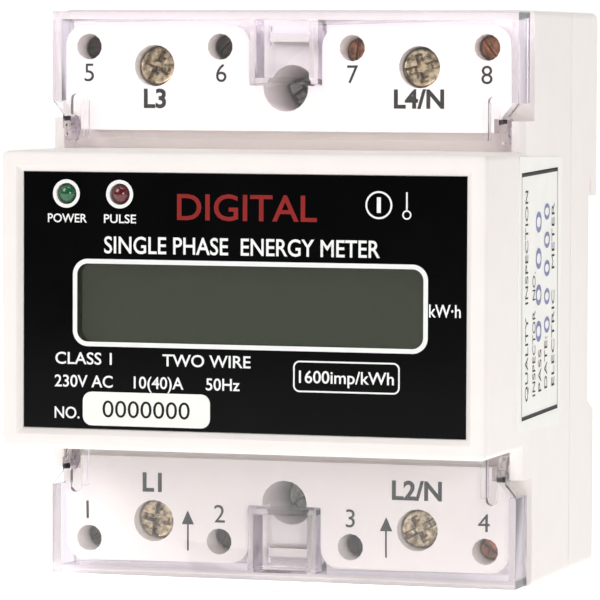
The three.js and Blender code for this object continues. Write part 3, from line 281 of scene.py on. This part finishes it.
def clear_polycarbonate(name, colour, roughness, waviness):
    """Injection-moulded polycarbonate: clear, glossy, with slight flow waves.

    Rays from lamps pass straight through, as they do through a thin flat wall.
    """
    material = new_material(name, colour)
    tree = material.node_tree
    place = add_node(tree, "ShaderNodeTexCoord").outputs["Object"]
    flow = add_node(
        tree, "ShaderNodeTexNoise", {"Scale": 1 / (9 * MM), "Detail": 1.0}, {"Vector": place})
    bump = add_node(
        tree, "ShaderNodeBump", {"Strength": 0.3, "Distance": waviness},
        {"Height": flow.outputs["Fac"]})
    glass = add_node(
        tree, "ShaderNodeBsdfPrincipled",
        {"Base Color": colour, "Roughness": roughness, "IOR": 1.585, "Transmission Weight": 1.0,
         "Specular IOR Level": 0.3},
        {"Normal": bump.outputs["Normal"]})
    open_way = add_node(tree, "ShaderNodeBsdfTransparent", {"Color": colour})
    path = add_node(tree, "ShaderNodeLightPath")
    both = add_node(
        tree, "ShaderNodeMixShader",
        links={"Fac": path.outputs["Is Shadow Ray"]})
    tree.links.new(glass.outputs["BSDF"], both.inputs[1])
    tree.links.new(open_way.outputs["BSDF"], both.inputs[2])
    add_node(tree, "ShaderNodeOutputMaterial", links={"Surface": both.outputs["Shader"]})
    return material


def make_finishes(settings):
    """Every finish on the meter, by a short name."""
    housing = list(settings.housing.colour)
    ink = {"Specular IOR Level": 0.3}
    dome = {"Coat Weight": 0.8, "Subsurface Weight": 0.3, "Subsurface Scale": 0.6 * MM}
    return {
        # Spark-eroded mould texture gives a satin face; its 0.1 mm grain is drawn 0.45 mm
        # wide so that it shows.
        "housing": grained("moulded_pc_abs_satin", housing, 0.5, 0.45 * MM, 0.012 * MM, 0.012),
        "insulator": grained(
            "moulded_polyamide_matt", linear("#dfd7ca"), 0.62, 0.5 * MM, 0.02 * MM),
        "clip": grained("moulded_nylon_satin", linear("#d8d2c6"), 0.48, 0.5 * MM, 0.015 * MM),
        "cover": clear_polycarbonate(
            "moulded_polycarbonate_clear", list(settings.cover.tint), 0.03, 0.02 * MM),
        # A cut edge is seen through a long way of plastic, so it looks violet grey.
        "cover_edge": clear_polycarbonate(
            "moulded_polycarbonate_edge", list(settings.cover.edge_tint), 0.12, 0.02 * MM),
        "window": clear_polycarbonate(
            "cast_polycarbonate_window", linear("#eef0e6"), 0.04, 0.01 * MM),
        # Gloss polyester printed from behind: deep black with a faint orange peel.
        "film": grained(
            "printed_polyester_gloss_black", linear("#050506"), 0.14, 0.8 * MM, 0.002 * MM, 0.1,
            **{"Specular IOR Level": 0.1}),
        "lcd": grained(
            "liquid_crystal_glass_olive", linear("#2b3020"), 0.5, 6 * MM, 0.0001 * MM, 0.02,
            **{"Specular IOR Level": 0.05}),
        "backlight": grained(
            "diffusing_acrylic_milky", linear("#e6e8dd"), 0.55, 0.8 * MM, 0.01 * MM),
        "paper": grained(
            "coated_label_paper", linear("#f7f5ef"), 0.6, 0.3 * MM, 0.006 * MM, 0.015),
        "white_ink": grained(
            "screen_ink_white", linear("#f2f2f0"), 0.5, 0.25 * MM, 0.003 * MM, 0.03, **ink),
        "black_ink": grained(
            "pad_print_ink_black", linear("#0b0a0d"), 0.55, 0.25 * MM, 0.003 * MM, 0.1, **ink),
        "red_ink": grained(
            "screen_ink_red", list(settings.print.word_colour), 0.5, 0.25 * MM, 0.003 * MM,
            0.08, **ink),
        "stamp_ink": grained(
            "rubber_stamp_ink_violet", linear("#8288b4"), 0.65, 0.3 * MM, 0.002 * MM, 0.25,
            **ink),
        # Tarnished nickel plate: warm grey brown with bright rubbed patches.
        "nickel": turned_metal(
            "nickel_plated_steel_tarnished", linear("#d2bf9f"), linear("#55432f"), 0.3, 0.12 * MM),
        "dark_steel": turned_metal(
            "blackened_steel_oiled", linear("#4c3a33"), linear("#1b1413"), 0.4, 0.15 * MM),
        "copper_flash": turned_metal(
            "copper_flashed_steel", linear("#b5744a"), linear("#5e3522"), 0.36, 0.15 * MM),
        "zinc": turned_metal(
            "zinc_plated_steel_passivated", linear("#a9aaa0"), linear("#77786a"), 0.36, 0.15 * MM),
        "spring": turned_metal(
            "drawn_spring_wire", linear("#b2b2b0"), linear("#7f7f7d"), 0.28, 0.1 * MM),
        "copper": turned_metal(
            "rolled_copper_strip", linear("#c07c58"), linear("#8f5236"), 0.34, 0.2 * MM),
        "brass": turned_metal(
            "machined_brass_bright", linear("#c2a25f"), linear("#94763c"), 0.32, 0.15 * MM),
        "manganin": turned_metal(
            "manganese_copper_brushed", linear("#9c8672"), linear("#7b6654"), 0.42, 0.2 * MM),
        # Dome-topped epoxy lamps, tinted in the mass.
        "green_lamp": grained(
            "tinted_epoxy_green", linear("#0c5a33"), 0.12, 0.6 * MM, 0.002 * MM, 0.12, **dome),
        "red_lamp": grained(
            "tinted_epoxy_red", linear("#5e0d16"), 0.12, 0.6 * MM, 0.002 * MM, 0.12, **dome),
        "board": grained(
            "solder_mask_green_epoxy", linear("#1f6a3f"), 0.35, 0.9 * MM, 0.02 * MM, 0.2),
        "chip": grained("moulded_epoxy_black", linear("#1c1c1e"), 0.6, 0.3 * MM, 0.01 * MM, 0.1),
        "film_capacitor": grained(
            "moulded_polyester_red", linear("#9c3527"), 0.4, 0.5 * MM, 0.01 * MM),
        "sleeve": grained("shrink_sleeve_blue", linear("#24345f"), 0.35, 0.6 * MM, 0.008 * MM),
        "varistor": grained("dipped_epoxy_blue", linear("#2b5da9"), 0.38, 0.7 * MM, 0.03 * MM),
    }


# ---- Mesh helpers ------------------------------------------------------------------------
def make_piece(name, vertices, faces, finish, body="housing", smooth=False, replaced=()):
    """A mesh object at the origin that rides on a body and may stand for CAD nodes."""
    mesh = bpy.data.meshes.new(name)
    faces = faces.tolist() if isinstance(faces, np.ndarray) else faces
    mesh.from_pydata(np.asarray(vertices).tolist(), [], faces)
    mesh.materials.append(FINISHES[finish])
    mesh.polygons.foreach_set("use_smooth", [smooth] * len(mesh.polygons))
    mesh.update()
    piece = bpy.data.objects.new(name, mesh)
    bpy.context.scene.collection.objects.link(piece)
    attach(piece, body)
    if replaced:
        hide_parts(*replaced)
    return piece


def grid_faces(rows, columns, closed):
    """Quads of a grid of rows by columns points; closed joins the last column to the first."""
    i, j = np.meshgrid(
        np.arange(rows - 1), np.arange(columns if closed else columns - 1), indexing="ij")
    near, far = i * columns, (i + 1) * columns
    ahead = (j + 1) % columns
    return np.stack([near + j, near + ahead, far + ahead, far + j], axis=-1).reshape(-1, 4)


def rounded_loop(half_x, half_z, radius, count):
    """Points of a rectangle with round corners.

    Each of count angles picks the corner of its quarter; the point is that corner's arc
    centre plus the radius along the angle.
    """
    angle = (np.arange(count) + 0.5) / count * 2 * np.pi
    across = np.sign(np.cos(angle)) * (half_x - radius) + radius * np.cos(angle)
    along = np.sign(np.sin(angle)) * (half_z - radius) + radius * np.sin(angle)
    return np.stack([across, along], axis=-1)


def printed_frame(half_x, half_z, radius, width, count=64):
    """A flat band between two rounded rectangles, width apart, as points in x and z."""
    outer = rounded_loop(half_x, half_z, radius, count)
    inner = rounded_loop(half_x - width, half_z - width, max(radius - width, 0.01 * MM), count)
    return np.concatenate([outer, inner]), grid_faces(2, count, True)


def printed_ring(radius, width, count=64):
    """A round band: a printed frame whose corners fall a thousandth of a mm short of round."""
    return printed_frame(radius, radius, radius - 0.001 * MM, width, count)


def on_front(points, centre, y):
    """Flat x and z points placed around a centre on the plane y, facing -Y."""
    points = np.asarray(points, dtype=float)
    return np.stack(
        [points[:, 0] + centre[0], np.full(len(points), y), points[:, 1] + centre[1]], axis=-1)


LETTERS = {}


def lettering(words, height, bold=WEIGHT, width=None):
    """Flat points and faces of words with capitals of a height, centred on its capitals.

    A width stretches or narrows the whole line to fit it.
    """
    def outline_mesh(text):
        curve = bpy.data.curves.new("letters", "FONT")
        curve.body = text
        curve.align_x = "CENTER"
        curve.offset = bold
        curve.resolution_u = 4
        holder = bpy.data.objects.new("letters", curve)
        bpy.context.scene.collection.objects.link(holder)
        graph = bpy.context.evaluated_depsgraph_get()
        mesh = bpy.data.meshes.new_from_object(holder.evaluated_get(graph))
        points = np.empty(3 * len(mesh.vertices))
        mesh.vertices.foreach_get("co", points)
        faces = [tuple(face.vertices) for face in mesh.polygons]
        bpy.data.objects.remove(holder)
        bpy.data.curves.remove(curve)
        bpy.data.meshes.remove(mesh)
        return points.reshape(-1, 3)[:, :2], faces

    if bold not in LETTERS:
        capital, _ = outline_mesh("H")
        LETTERS[bold] = np.ptp(capital[:, 1]), (capital[:, 1].max() + capital[:, 1].min()) / 2
    tall, middle = LETTERS[bold]
    points, faces = outline_mesh(words)
    points[:, 1] -= middle
    points[:, 0] -= (points[:, 0].max() + points[:, 0].min()) / 2
    points *= height / tall
    if width:
        points[:, 0] *= width / np.ptp(points[:, 0])
    return points, faces


def gathered(pieces):
    """Joins several sets of points and faces into one."""
    points, faces, start = [], [], 0
    for some_points, some_faces in pieces:
        points.append(some_points)
        faces.extend(tuple(int(k) + start for k in face) for face in some_faces)
        start += len(some_points)
    return np.concatenate(points), faces


def front_print(name, items, finish, y):
    """One printed piece from (points, faces, centre) items on the plane y."""
    points, faces = gathered([(on_front(p, centre, y), f) for p, f, centre in items])
    piece = make_piece(name, points, faces, finish)
    turn_to(piece, Vector((0, -1, 0)))
    return piece


def turn_to(piece, direction):
    """Flips each face of a flat print that points away from direction."""
    mesh = bmesh.new()
    mesh.from_mesh(piece.data)
    mesh.normal_update()
    away = [face for face in mesh.faces if face.normal.dot(direction) < 0]
    bmesh.ops.reverse_faces(mesh, faces=away)
    mesh.to_mesh(piece.data)
    mesh.free()


def rounded_copy(node, name, finish, body, width, angle=30, edge_finish=None):
    """A merged copy of a CAD node with its flat faces joined and its edges rounded."""
    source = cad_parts[node]
    mesh = bmesh.new()
    mesh.from_mesh(source.data)
    bmesh.ops.remove_doubles(mesh, verts=mesh.verts, dist=0.002 * MM)
    bmesh.ops.dissolve_limit(
        mesh, angle_limit=math.radians(1), verts=mesh.verts, edges=mesh.edges)
    copy = bpy.data.meshes.new(name)
    mesh.normal_update()
    copy.materials.append(FINISHES[finish])
    if edge_finish:
        copy.materials.append(FINISHES[edge_finish])
    for face in mesh.faces:
        face.smooth = True
        face.material_index = 1 if edge_finish and abs(face.normal.y) < 0.5 else 0
    mesh.to_mesh(copy)
    mesh.free()
    copy.set_sharp_from_angle(angle=math.radians(angle))
    piece = bpy.data.objects.new(name, copy)
    bpy.context.scene.collection.objects.link(piece)
    bevel = piece.modifiers.new("edges", "BEVEL")
    bevel.width = width
    bevel.segments = 2
    bevel.limit_method = "ANGLE"
    bevel.angle_limit = math.radians(angle)
    bevel.harden_normals = True
    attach(piece, body)
    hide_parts(node)
    return piece


def screw_surface(low, high, recess, head, shank, head_height, rounding):
    """A headed screw along Y whose face is a height over the radius and the angle.

    Rows run from the middle of the face out to its rim, down the side, in under the head,
    down the shank and to its tip. The face's height is the low crown less the recess, a
    function of the place across and along the face.
    """
    centre = (low + high) / 2
    turn = np.arange(96) / 96 * 2 * np.pi
    face = np.linspace(0.02, 1, 34) * (head - rounding)
    bend = np.linspace(0, np.pi / 2, 6)[1:]
    radius = np.concatenate([
        face, head - rounding + rounding * np.sin(bend), [head, shank, shank, POLE_RADIUS]])
    depth = np.concatenate([
        np.zeros(len(face)), rounding * (1 - np.cos(bend)),
        [head_height, head_height, high[1] - low[1], high[1] - low[1]]])
    across = radius[:, None] * np.cos(turn)
    along = radius[:, None] * np.sin(turn)
    sunk = recess(across, along) * (radius < head - 0.5 * rounding)[:, None]
    crown = HEAD_CROWN * np.clip(radius / head, 0, 1)[:, None] ** 2
    on_face = (depth < 1e-9)[:, None]
    y = low[1] + (depth[:, None] + crown * on_face) + sunk
    points = np.stack([centre[0] + across, y, centre[2] + along], axis=-1)
    return points.reshape(-1, 3), grid_faces(len(radius), len(turn), True)


def groove(distance, half_width, wall):
    """1 inside a groove and 0 outside; wall is the width of each sloping side."""
    return np.clip((half_width - np.abs(distance)) / wall + 0.5, 0, 1)


def slot_and_cross(across, along, angle, size):
    """Recess of a combination head: a slot all the way across and a shorter cross arm.

    The depth is the slot's wherever slot or arm runs, and more near the middle.
    """
    u = across * math.cos(angle) + along * math.sin(angle)
    v = -across * math.sin(angle) + along * math.cos(angle)
    slot = groove(v, SLOT_HALF_WIDTH, SLOT_WALL)
    arm = groove(u, SLOT_HALF_WIDTH, SLOT_WALL) * groove(v, ARM_SHARE * size, ARM_END_WALL)
    deep = groove(np.hypot(u, v), MIDDLE_SHARE * size, MIDDLE_WALL)
    return SLOT_DEPTH * np.maximum(slot, arm) + MIDDLE_DEPTH * deep * np.maximum(slot, arm)


def plain_slot(across, along, angle):
    """Recess of a plain head: one slot all the way across."""
    aside = -across * math.sin(angle) + along * math.cos(angle)
    return AUX_SLOT_DEPTH * groove(aside, AUX_SLOT_HALF_WIDTH, SLOT_WALL)


def headed_screw(node, finish, body, shape, recess, *how):
    """Builds the screw that replaces a CAD node; how is the recess's angle and size."""
    low, high = (np.array(c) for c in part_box(node))
    points, faces = screw_surface(low, high, lambda u, v: recess(u, v, *how), **shape)
    close_ends(make_piece(f"{node}_head", points, faces, finish, body, replaced=(node,)))


def close_ends(piece):
    """Merges the points at each pole of a turned piece, then points its faces outwards."""
    mesh = bmesh.new()
    mesh.from_mesh(piece.data)
    bmesh.ops.remove_doubles(mesh, verts=mesh.verts, dist=0.02 * MM)
    boundary = [edge for edge in mesh.edges if edge.is_boundary]
    if boundary:
        bmesh.ops.holes_fill(mesh, edges=boundary)
    bmesh.ops.recalc_face_normals(mesh, faces=mesh.faces)
    for face in mesh.faces:
        face.smooth = True
    mesh.to_mesh(piece.data)
    mesh.free()
    piece.data.set_sharp_from_angle(angle=math.radians(40))


FINISHES = {}


# ---- Pieces ------------------------------------------------------------------------------
class METER_OT_housing(bpy.types.Operator):
    """Builds the moulded base housing, front case and rail clip"""

    bl_idname = "meter.housing"
    bl_label = "Housing"

    def execute(self, context):
        settings = context.scene.meter_housing
        rounded_copy("front_case", "front_case_moulded", "housing", "housing", settings.edge)
        rounded_copy("base_housing", "base_housing_moulded", "housing", "housing", settings.edge)
        rounded_copy("din_clip", "din_clip_moulded", "clip", "din_clip", settings.edge)
        # The real coil shortens towards its fixed lower seat as the clip travels; this copy rides
        # still on the housing.
        coil = rounded_copy(
            "clip_spring", "clip_spring_coil", "spring", "housing", settings.edge, angle=60)
        coil.modifiers.clear()
        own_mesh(coil)
        return {"FINISHED"}


class METER_OT_covers(bpy.types.Operator):
    """Builds the two clear terminal covers with their tinted cut edges"""

    bl_idname = "meter.covers"
    bl_label = "Terminal covers"

    def execute(self, context):
        for half in ("upper", "lower"):
            rounded_copy(
                f"{half}_terminal_cover", f"{half}_cover_moulded", "cover", f"{half}_cover",
                COVER_EDGE, edge_finish="cover_edge")
        return {"FINISHED"}


class METER_OT_screws(bpy.types.Operator):
    """Builds the heads and shanks of the terminal screws and the two case screws"""

    bl_idname = "meter.screws"
    bl_label = "Screws"

    def execute(self, context):
        for name, angle in MAIN_TURNS.items():
            headed_screw(
                f"{name}_screw", "nickel", f"{name}_screw", MAIN_SCREW,
                slot_and_cross, angle, MAIN_RECESS)
        for number, name in enumerate(AUX_NAMES):
            headed_screw(
                f"{name}_screw", "copper_flash" if name in COPPER_SCREWS else "dark_steel",
                f"{name}_screw", AUX_SCREW,
                plain_slot, AUX_FIRST_TURN + AUX_NEXT_TURN * number)
        for half in ("upper", "lower"):
            headed_screw(
                f"{half}_case_screw", "zinc", "housing", CASE_SCREW,
                slot_and_cross, CASE_TURN, CASE_RECESS)
        return {"FINISHED"}


class METER_OT_indicators(bpy.types.Operator):
    """Builds the two indicator lamps as domed lenses and their white rings"""

    bl_idname = "meter.indicators"
    bl_label = "Indicator lamps"

    def execute(self, context):
        rings = []
        for name, finish in LAMPS.items():
            low, high = (np.array(c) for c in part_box(name))
            centre = (low + high) / 2
            # The radius and depth follow a quarter circle, then the barrel and its flange.
            bend = np.linspace(0.02, np.pi / 2, 14)
            radius = np.concatenate([
                DOME_RADIUS * np.sin(bend),
                [DOME_RADIUS, FLANGE_RADIUS, FLANGE_RADIUS, POLE_RADIUS]])
            flange = high[1] - FLANGE_THICKNESS
            y = np.concatenate([
                low[1] + DOME_RADIUS * (1 - np.cos(bend)), [flange, flange, high[1], high[1]]])
            turn = np.arange(48) / 48 * 2 * np.pi
            points = np.stack([
                centre[0] + radius[:, None] * np.cos(turn),
                y[:, None] + 0 * turn,
                centre[2] + radius[:, None] * np.sin(turn)], axis=-1).reshape(-1, 3)
            close_ends(make_piece(
                f"{name}_lens", points, grid_faces(len(radius), len(turn), True), finish,
                replaced=(name,)))
            rings.append((*printed_ring(RING_RADIUS, RING_WIDTH, 48), centre[[0, 2]]))
        front_print("lamp_rings_print", rings, "white_ink", FILM_FACE - RING_DEPTH)
        return {"FINISHED"}


class METER_OT_nameplate(bpy.types.Operator):
    """Prints the nameplate film: heading, ratings, symbols and the display border"""

    bl_idname = "meter.nameplate"
    bl_label = "Nameplate"

    def execute(self, context):
        settings = context.scene.meter_print
        y = FILM_FACE - INK
        white = []

        def words(text, height, width, x, z, bold=WEIGHT):
            """Adds words of a height, their width and the x and z of their middle in mm."""
            points, faces = lettering(text, height, bold, width * MM)
            white.append((points, faces, (x * MM, z * MM)))

        words("POWER", 1.3 * MM, 6.25, -27.7, 12.4)
        words("PULSE", 1.3 * MM, 5.1, -19.3, 12.4)
        words("SINGLE PHASE  ENERGY METER", settings.heading, 43.2, -0.2, 8.45)
        words("kW·h", 1.9 * MM, 4.85, 31.4, -0.5)
        words("CLASS 1          TWO WIRE", 1.8 * MM, 31.0, -14.1, -8.75)
        words("230V AC    10(40)A     50Hz", 1.8 * MM, 29.4, -15.0, -12.2)
        words("NO.", 1.75 * MM, 4.0, -27.7, -17.0)
        words("1600imp/kWh", 1.85 * MM, 14.7, 16.3, -10.7)
        words("1", 2.3 * MM, 0.62, 21.2, 15.0, 0.0)
        window = (WINDOW_LOW + WINDOW_HIGH)[[0, 2]] / 2
        half = (WINDOW_HIGH - WINDOW_LOW)[[0, 2]] / 2
        # The display's border, the constant's frame, the ringed figure, and the symbol's
        # ring and stem.
        for band, centre in (
            (printed_frame(half[0] + 0.1 * MM, half[1] + 0.1 * MM, 2.4 * MM, 0.7 * MM, 96), window),
            (printed_frame(8.25 * MM, 2.35 * MM, 1.0 * MM, 0.25 * MM), (16.3 * MM, -10.65 * MM)),
            (printed_ring(2.07 * MM, 0.28 * MM), (21.2 * MM, 15.0 * MM)),
            (printed_ring(0.7 * MM, 0.22 * MM), (25.5 * MM, 13.6 * MM)),
            (printed_frame(0.13 * MM, 1.35 * MM, 0.05 * MM, 0.129 * MM), (25.5 * MM, 15.6 * MM)),
        ):
            white.append((*band, centre))
        front_print("nameplate_print_white", white, "white_ink", y)
        points, faces = lettering("DIGITAL", 3.9 * MM, 0.01, 21.9 * MM)
        front_print("nameplate_print_word", [(points, faces, (0.7 * MM, 14.3 * MM))], "red_ink", y)
        return {"FINISHED"}


class METER_OT_labels(bpy.types.Operator):
    """Prints the serial plate and the inspection sticker on the side"""

    bl_idname = "meter.labels"
    bl_label = "Labels"

    def execute(self, context):
        centre = ((SERIAL_LOW + SERIAL_HIGH) / 2)[[0, 2]]
        points, faces = lettering("0000000", 2.5 * MM, 0.0)
        points[:, 0] *= 1.1
        front_print(
            "serial_label_digits", [(points, faces, centre)], "black_ink",
            SERIAL_LOW[1] - INK)

        # The paper's outer face gives up the ink's thickness, so the print ends flush with it.
        paper = rounded_copy("side_label", "side_label_paper", "paper", "housing", PAPER_EDGE)
        corners = np.empty(3 * len(paper.data.vertices))
        paper.data.vertices.foreach_get("co", corners)
        corners = corners.reshape(-1, 3)
        outer = corners[:, 0] > (STICKER_LOW[0] + STICKER_HIGH[0]) / 2
        corners[outer, 0] -= INK
        paper.data.vertices.foreach_set("co", corners.ravel())
        paper.data.update()

        middle = (STICKER_LOW + STICKER_HIGH) / 2
        tilt = math.radians(1.2)

        def on_side(flat, forward, up):
            """Places flat points on the side wall, their x running up and their y forward.

            The whole print leans by the tilt about the middle of the sticker.
            """
            run, lean = flat[:, 0] + up, flat[:, 1] + forward
            depth = lean * math.cos(tilt) + run * math.sin(tilt)
            rise = run * math.cos(tilt) - lean * math.sin(tilt)
            return np.stack(
                [np.full(len(flat), STICKER_HIGH[0]), middle[1] - depth, middle[2] + rise],
                axis=-1)

        # A thin frame with a heavier bar across its two short ends.
        frame_points, frame_faces = printed_frame(18.75 * MM, 11.2 * MM, 0.1 * MM, 0.16 * MM, 32)
        printed = [(on_side(frame_points, 0, 0), frame_faces)]
        bar = np.array([[-0.3, -11.2], [0.3, -11.2], [0.3, 11.2], [-0.3, 11.2]]) * MM
        for end in (-18.45, 18.45):
            printed.append((on_side(bar, 0, end * MM), [(0, 1, 2, 3)]))
        lines = (
            ("QUALITY  INSPECTION", 8.2, 32.0, -16.0), ("INSPECTOR  NO.", 3.7, 19.0, -15.6),
            ("PASS", 0.0, 6.5, -15.2), ("DATE:", -3.7, 8.0, -15.0),
            ("ELECTRIC   METER", -8.2, 28.4, -15.0))
        for text, forward, length, start in lines:
            flat, flat_faces = lettering(text, 1.7 * MM, 0.0, length * MM)
            flat[:, 0] -= flat[:, 0].min()
            printed.append((on_side(flat, forward * MM, start * MM), flat_faces))
        piece = make_piece("side_label_print", *gathered(printed), "black_ink")
        turn_to(piece, Vector((1, 0, 0)))
        stamped = []
        for text, forward, up in (("0 0 0 0", 0.8, 2.5), ("0 0 0 0 0", -4.4, 3.5)):
            flat, flat_faces = lettering(text, 3.4 * MM, 0.008, 20 * MM)
            stamped.append((on_side(flat, forward * MM, up * MM), flat_faces))
        piece = make_piece("side_label_stamp", *gathered(stamped), "stamp_ink")
        turn_to(piece, Vector((1, 0, 0)))
        return {"FINISHED"}


class METER_OT_legends(bpy.types.Operator):
    """Prints the terminal numbers, names and feed arrows on the terminal faces"""

    bl_idname = "meter.legends"
    bl_label = "Terminal legends"

    def execute(self, context):
        settings = context.scene.meter_print
        items = []
        for entries, height, bold in (
            (TERMINAL_NUMBERS, settings.numbers, 0.0), (TERMINAL_WORDS, settings.names, 0.03),
        ):
            for text, x, z in entries:
                points, faces = lettering(text, height, bold)
                items.append((points, faces, (x * MM, z * MM)))
        # An arrow is a filled head over a thin stem.
        arrow = np.array([
            [-ARROW_HEAD, HEAD_END], [ARROW_HEAD, HEAD_END], [0, 0], [-ARROW_STEM, HEAD_END],
            [ARROW_STEM, HEAD_END], [ARROW_STEM, STEM_END], [-ARROW_STEM, STEM_END]])
        for x, z in ARROW_PLACES:
            items.append((arrow * MM, [(0, 1, 2), (3, 4, 5, 6)], (x * MM, z * MM)))
        front_print("terminal_legends_print", items, "black_ink", TERMINAL_FACE - INK)
        return {"FINISHED"}


class METER_OT_carried_over(bpy.types.Operator):
    """Gives each CAD solid that stays its real finish"""

    bl_idname = "meter.carried_over"
    bl_label = "Inner pieces"

    def execute(self, context):
        finishes = {
            "nameplate_film": "film", "display_window": "window",
            "serial_label": "paper", "lcd_panel": "lcd",
            "backlight_panel": "backlight", "upper_terminal_block": "insulator",
            "lower_terminal_block": "insulator", "line_in_bar": "copper", "line_out_bar": "copper",
            "neutral_bar": "copper", "shunt_element": "manganin", "display_board": "board",
            "main_board": "board", "board_header": "chip", "dropper_capacitor": "film_capacitor",
            "smoothing_capacitor": "sleeve", "surge_varistor": "varistor", "metering_chip": "chip",
            "microcontroller": "chip", "pulse_optocoupler": "backlight", "clock_crystal": "zinc",
        }
        finishes.update({f"{name}_cage": "zinc" for name in MAIN_NAMES})
        finishes.update({f"{name}_socket": "brass" for name in AUX_NAMES})
        for node, finish in finishes.items():
            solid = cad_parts[node]
            for slot in solid.material_slots:
                slot.link = "OBJECT"
                slot.material = FINISHES[finish]
            if not solid.material_slots:
                raise RuntimeError(f"{node} has no material slot")
        return {"FINISHED"}


class METER_OT_stage(bpy.types.Operator):
    """Builds the pale floor, the soft studio lights and the camera"""

    bl_idname = "meter.stage"
    bl_label = "Stage"

    def execute(self, context):
        scene = context.scene
        settings = scene.meter_stage
        floor_z = CLIP_FOOT - FLOOR_GAP
        # One sheet: a floor that curves up into a backdrop along a quarter circle.
        bend = np.linspace(0, np.pi / 2, 24)
        reach = np.concatenate([
            [SHEET_FRONT], SHEET_BEND + SHEET_RADIUS * np.sin(bend), [SHEET_BEND + SHEET_RADIUS]])
        rise = np.concatenate([[0], SHEET_RADIUS * (1 - np.cos(bend)), [SHEET_TOP]])
        across = np.linspace(-SHEET_HALF, SHEET_HALF, 9)
        points = np.stack([
            across + 0 * reach[:, None], reach[:, None] + 0 * across,
            floor_z + rise[:, None] + 0 * across], axis=-1).reshape(-1, 3)
        backdrop_finish = grained(
            "seamless_paper_white", list(settings.floor), 0.9, 6 * MM, 0.01 * MM, 0.005,
            **{"Emission Color": linear("#ffffff"), "Emission Strength": 0.6})
        mesh = bpy.data.meshes.new("backdrop")
        mesh.from_pydata(
            points.tolist(), [], grid_faces(len(reach), len(across), False).tolist())
        mesh.materials.append(backdrop_finish)
        mesh.polygons.foreach_set("use_smooth", [True] * len(mesh.polygons))
        backdrop = bpy.data.objects.new("backdrop", mesh)
        scene.collection.objects.link(backdrop)

        world = bpy.data.worlds.new("studio")
        world.use_nodes = True
        # The room is dim, but it looks white past the floor's edge and through clear plastic.
        tree = world.node_tree
        tree.nodes.clear()
        path = add_node(tree, "ShaderNodeLightPath")
        seen = add_node(tree, "ShaderNodeMath", operation="MAXIMUM")
        tree.links.new(path.outputs["Is Camera Ray"], seen.inputs[0])
        tree.links.new(path.outputs["Is Transmission Ray"], seen.inputs[1])
        strength = add_node(
            tree, "ShaderNodeMapRange", {"To Min": ROOM_DIM, "To Max": ROOM_SEEN},
            {"Value": seen.outputs["Value"]})
        room = add_node(
            tree, "ShaderNodeBackground", {"Color": linear("#ffffff")},
            {"Strength": strength.outputs["Result"]})
        add_node(tree, "ShaderNodeOutputWorld", links={"Surface": room.outputs["Background"]})
        scene.world = world
        for name, place, side, share in STUDIO_LAMPS:
            lamp = bpy.data.lights.new(name, "AREA")
            lamp.shape = "SQUARE"
            lamp.size = side
            lamp.energy = share * settings.key
            holder = bpy.data.objects.new(name, lamp)
            holder.location = place
            holder.rotation_euler = Vector(place).to_track_quat("Z", "Y").to_euler()
            scene.collection.objects.link(holder)

        yaw, pitch, roll = (
            math.radians(angle) for angle in (CAMERA_YAW, CAMERA_PITCH, CAMERA_ROLL))
        back = Vector((
            math.sin(yaw) * math.cos(pitch), -math.cos(yaw) * math.cos(pitch), math.sin(pitch)))
        right = Vector((math.cos(yaw), math.sin(yaw), 0))
        up = back.cross(right)
        level_right = right * math.cos(roll) + up * math.sin(roll)
        level_up = up * math.cos(roll) - right * math.sin(roll)
        lens = bpy.data.cameras.new("camera")
        lens.lens = CAMERA_LENS
        lens.sensor_width = CAMERA_SENSOR
        lens.clip_end = 20
        camera = bpy.data.objects.new("camera", lens)
        turn = Matrix((level_right, level_up, back)).transposed().to_4x4()
        camera.matrix_world = Matrix.Translation(CAMERA_PLACE) @ turn
        scene.collection.objects.link(camera)
        scene.camera = camera
        scene.view_settings.view_transform = "Standard"
        return {"FINISHED"}


STEPS = (
    METER_OT_stage, METER_OT_housing, METER_OT_covers, METER_OT_screws, METER_OT_indicators,
    METER_OT_nameplate, METER_OT_labels, METER_OT_legends, METER_OT_carried_over,
)


class METER_PT_panel(bpy.types.Panel):
    """Lists the steps that build the meter"""

    bl_idname = "METER_PT_panel"
    bl_label = "Electricity meter"
    bl_space_type = "VIEW_3D"
    bl_region_type = "UI"
    bl_category = "Meter"

    def draw(self, context):
        for group in SETTINGS:
            box = self.layout.box()
            values = getattr(context.scene, group)
            for name in values.__annotations__:
                box.prop(values, name)
        for step in STEPS:
            self.layout.operator(step.bl_idname)


SETTINGS = {
    "meter_housing": MeterHousingSettings,
    "meter_cover": MeterCoverSettings,
    "meter_print": MeterPrintSettings,
    "meter_stage": MeterStageSettings,
}


def register():
    for settings in SETTINGS.values():
        bpy.utils.register_class(settings)
    for step in STEPS:
        bpy.utils.register_class(step)
    bpy.utils.register_class(METER_PT_panel)
    for name, settings in SETTINGS.items():
        setattr(bpy.types.Scene, name, PointerProperty(type=settings))


def unregister():
    for name in SETTINGS:
        delattr(bpy.types.Scene, name)
    for kind in (METER_PT_panel, *reversed(STEPS), *SETTINGS.values()):
        bpy.utils.unregister_class(kind)


class Chosen:
    """The scene's settings under the names the finishes use."""

    def __init__(self, scene):
        self.housing = scene.meter_housing
        self.cover = scene.meter_cover
        self.print = scene.meter_print


def main():
    register()
    FINISHES.update(make_finishes(Chosen(bpy.context.scene)))
    bpy.ops.meter.stage()
    bpy.ops.meter.housing()
    bpy.ops.meter.covers()
    bpy.ops.meter.screws()
    bpy.ops.meter.indicators()
    bpy.ops.meter.nameplate()
    bpy.ops.meter.labels()
    bpy.ops.meter.legends()
    bpy.ops.meter.carried_over()


if __name__ == "__main__":
    main()
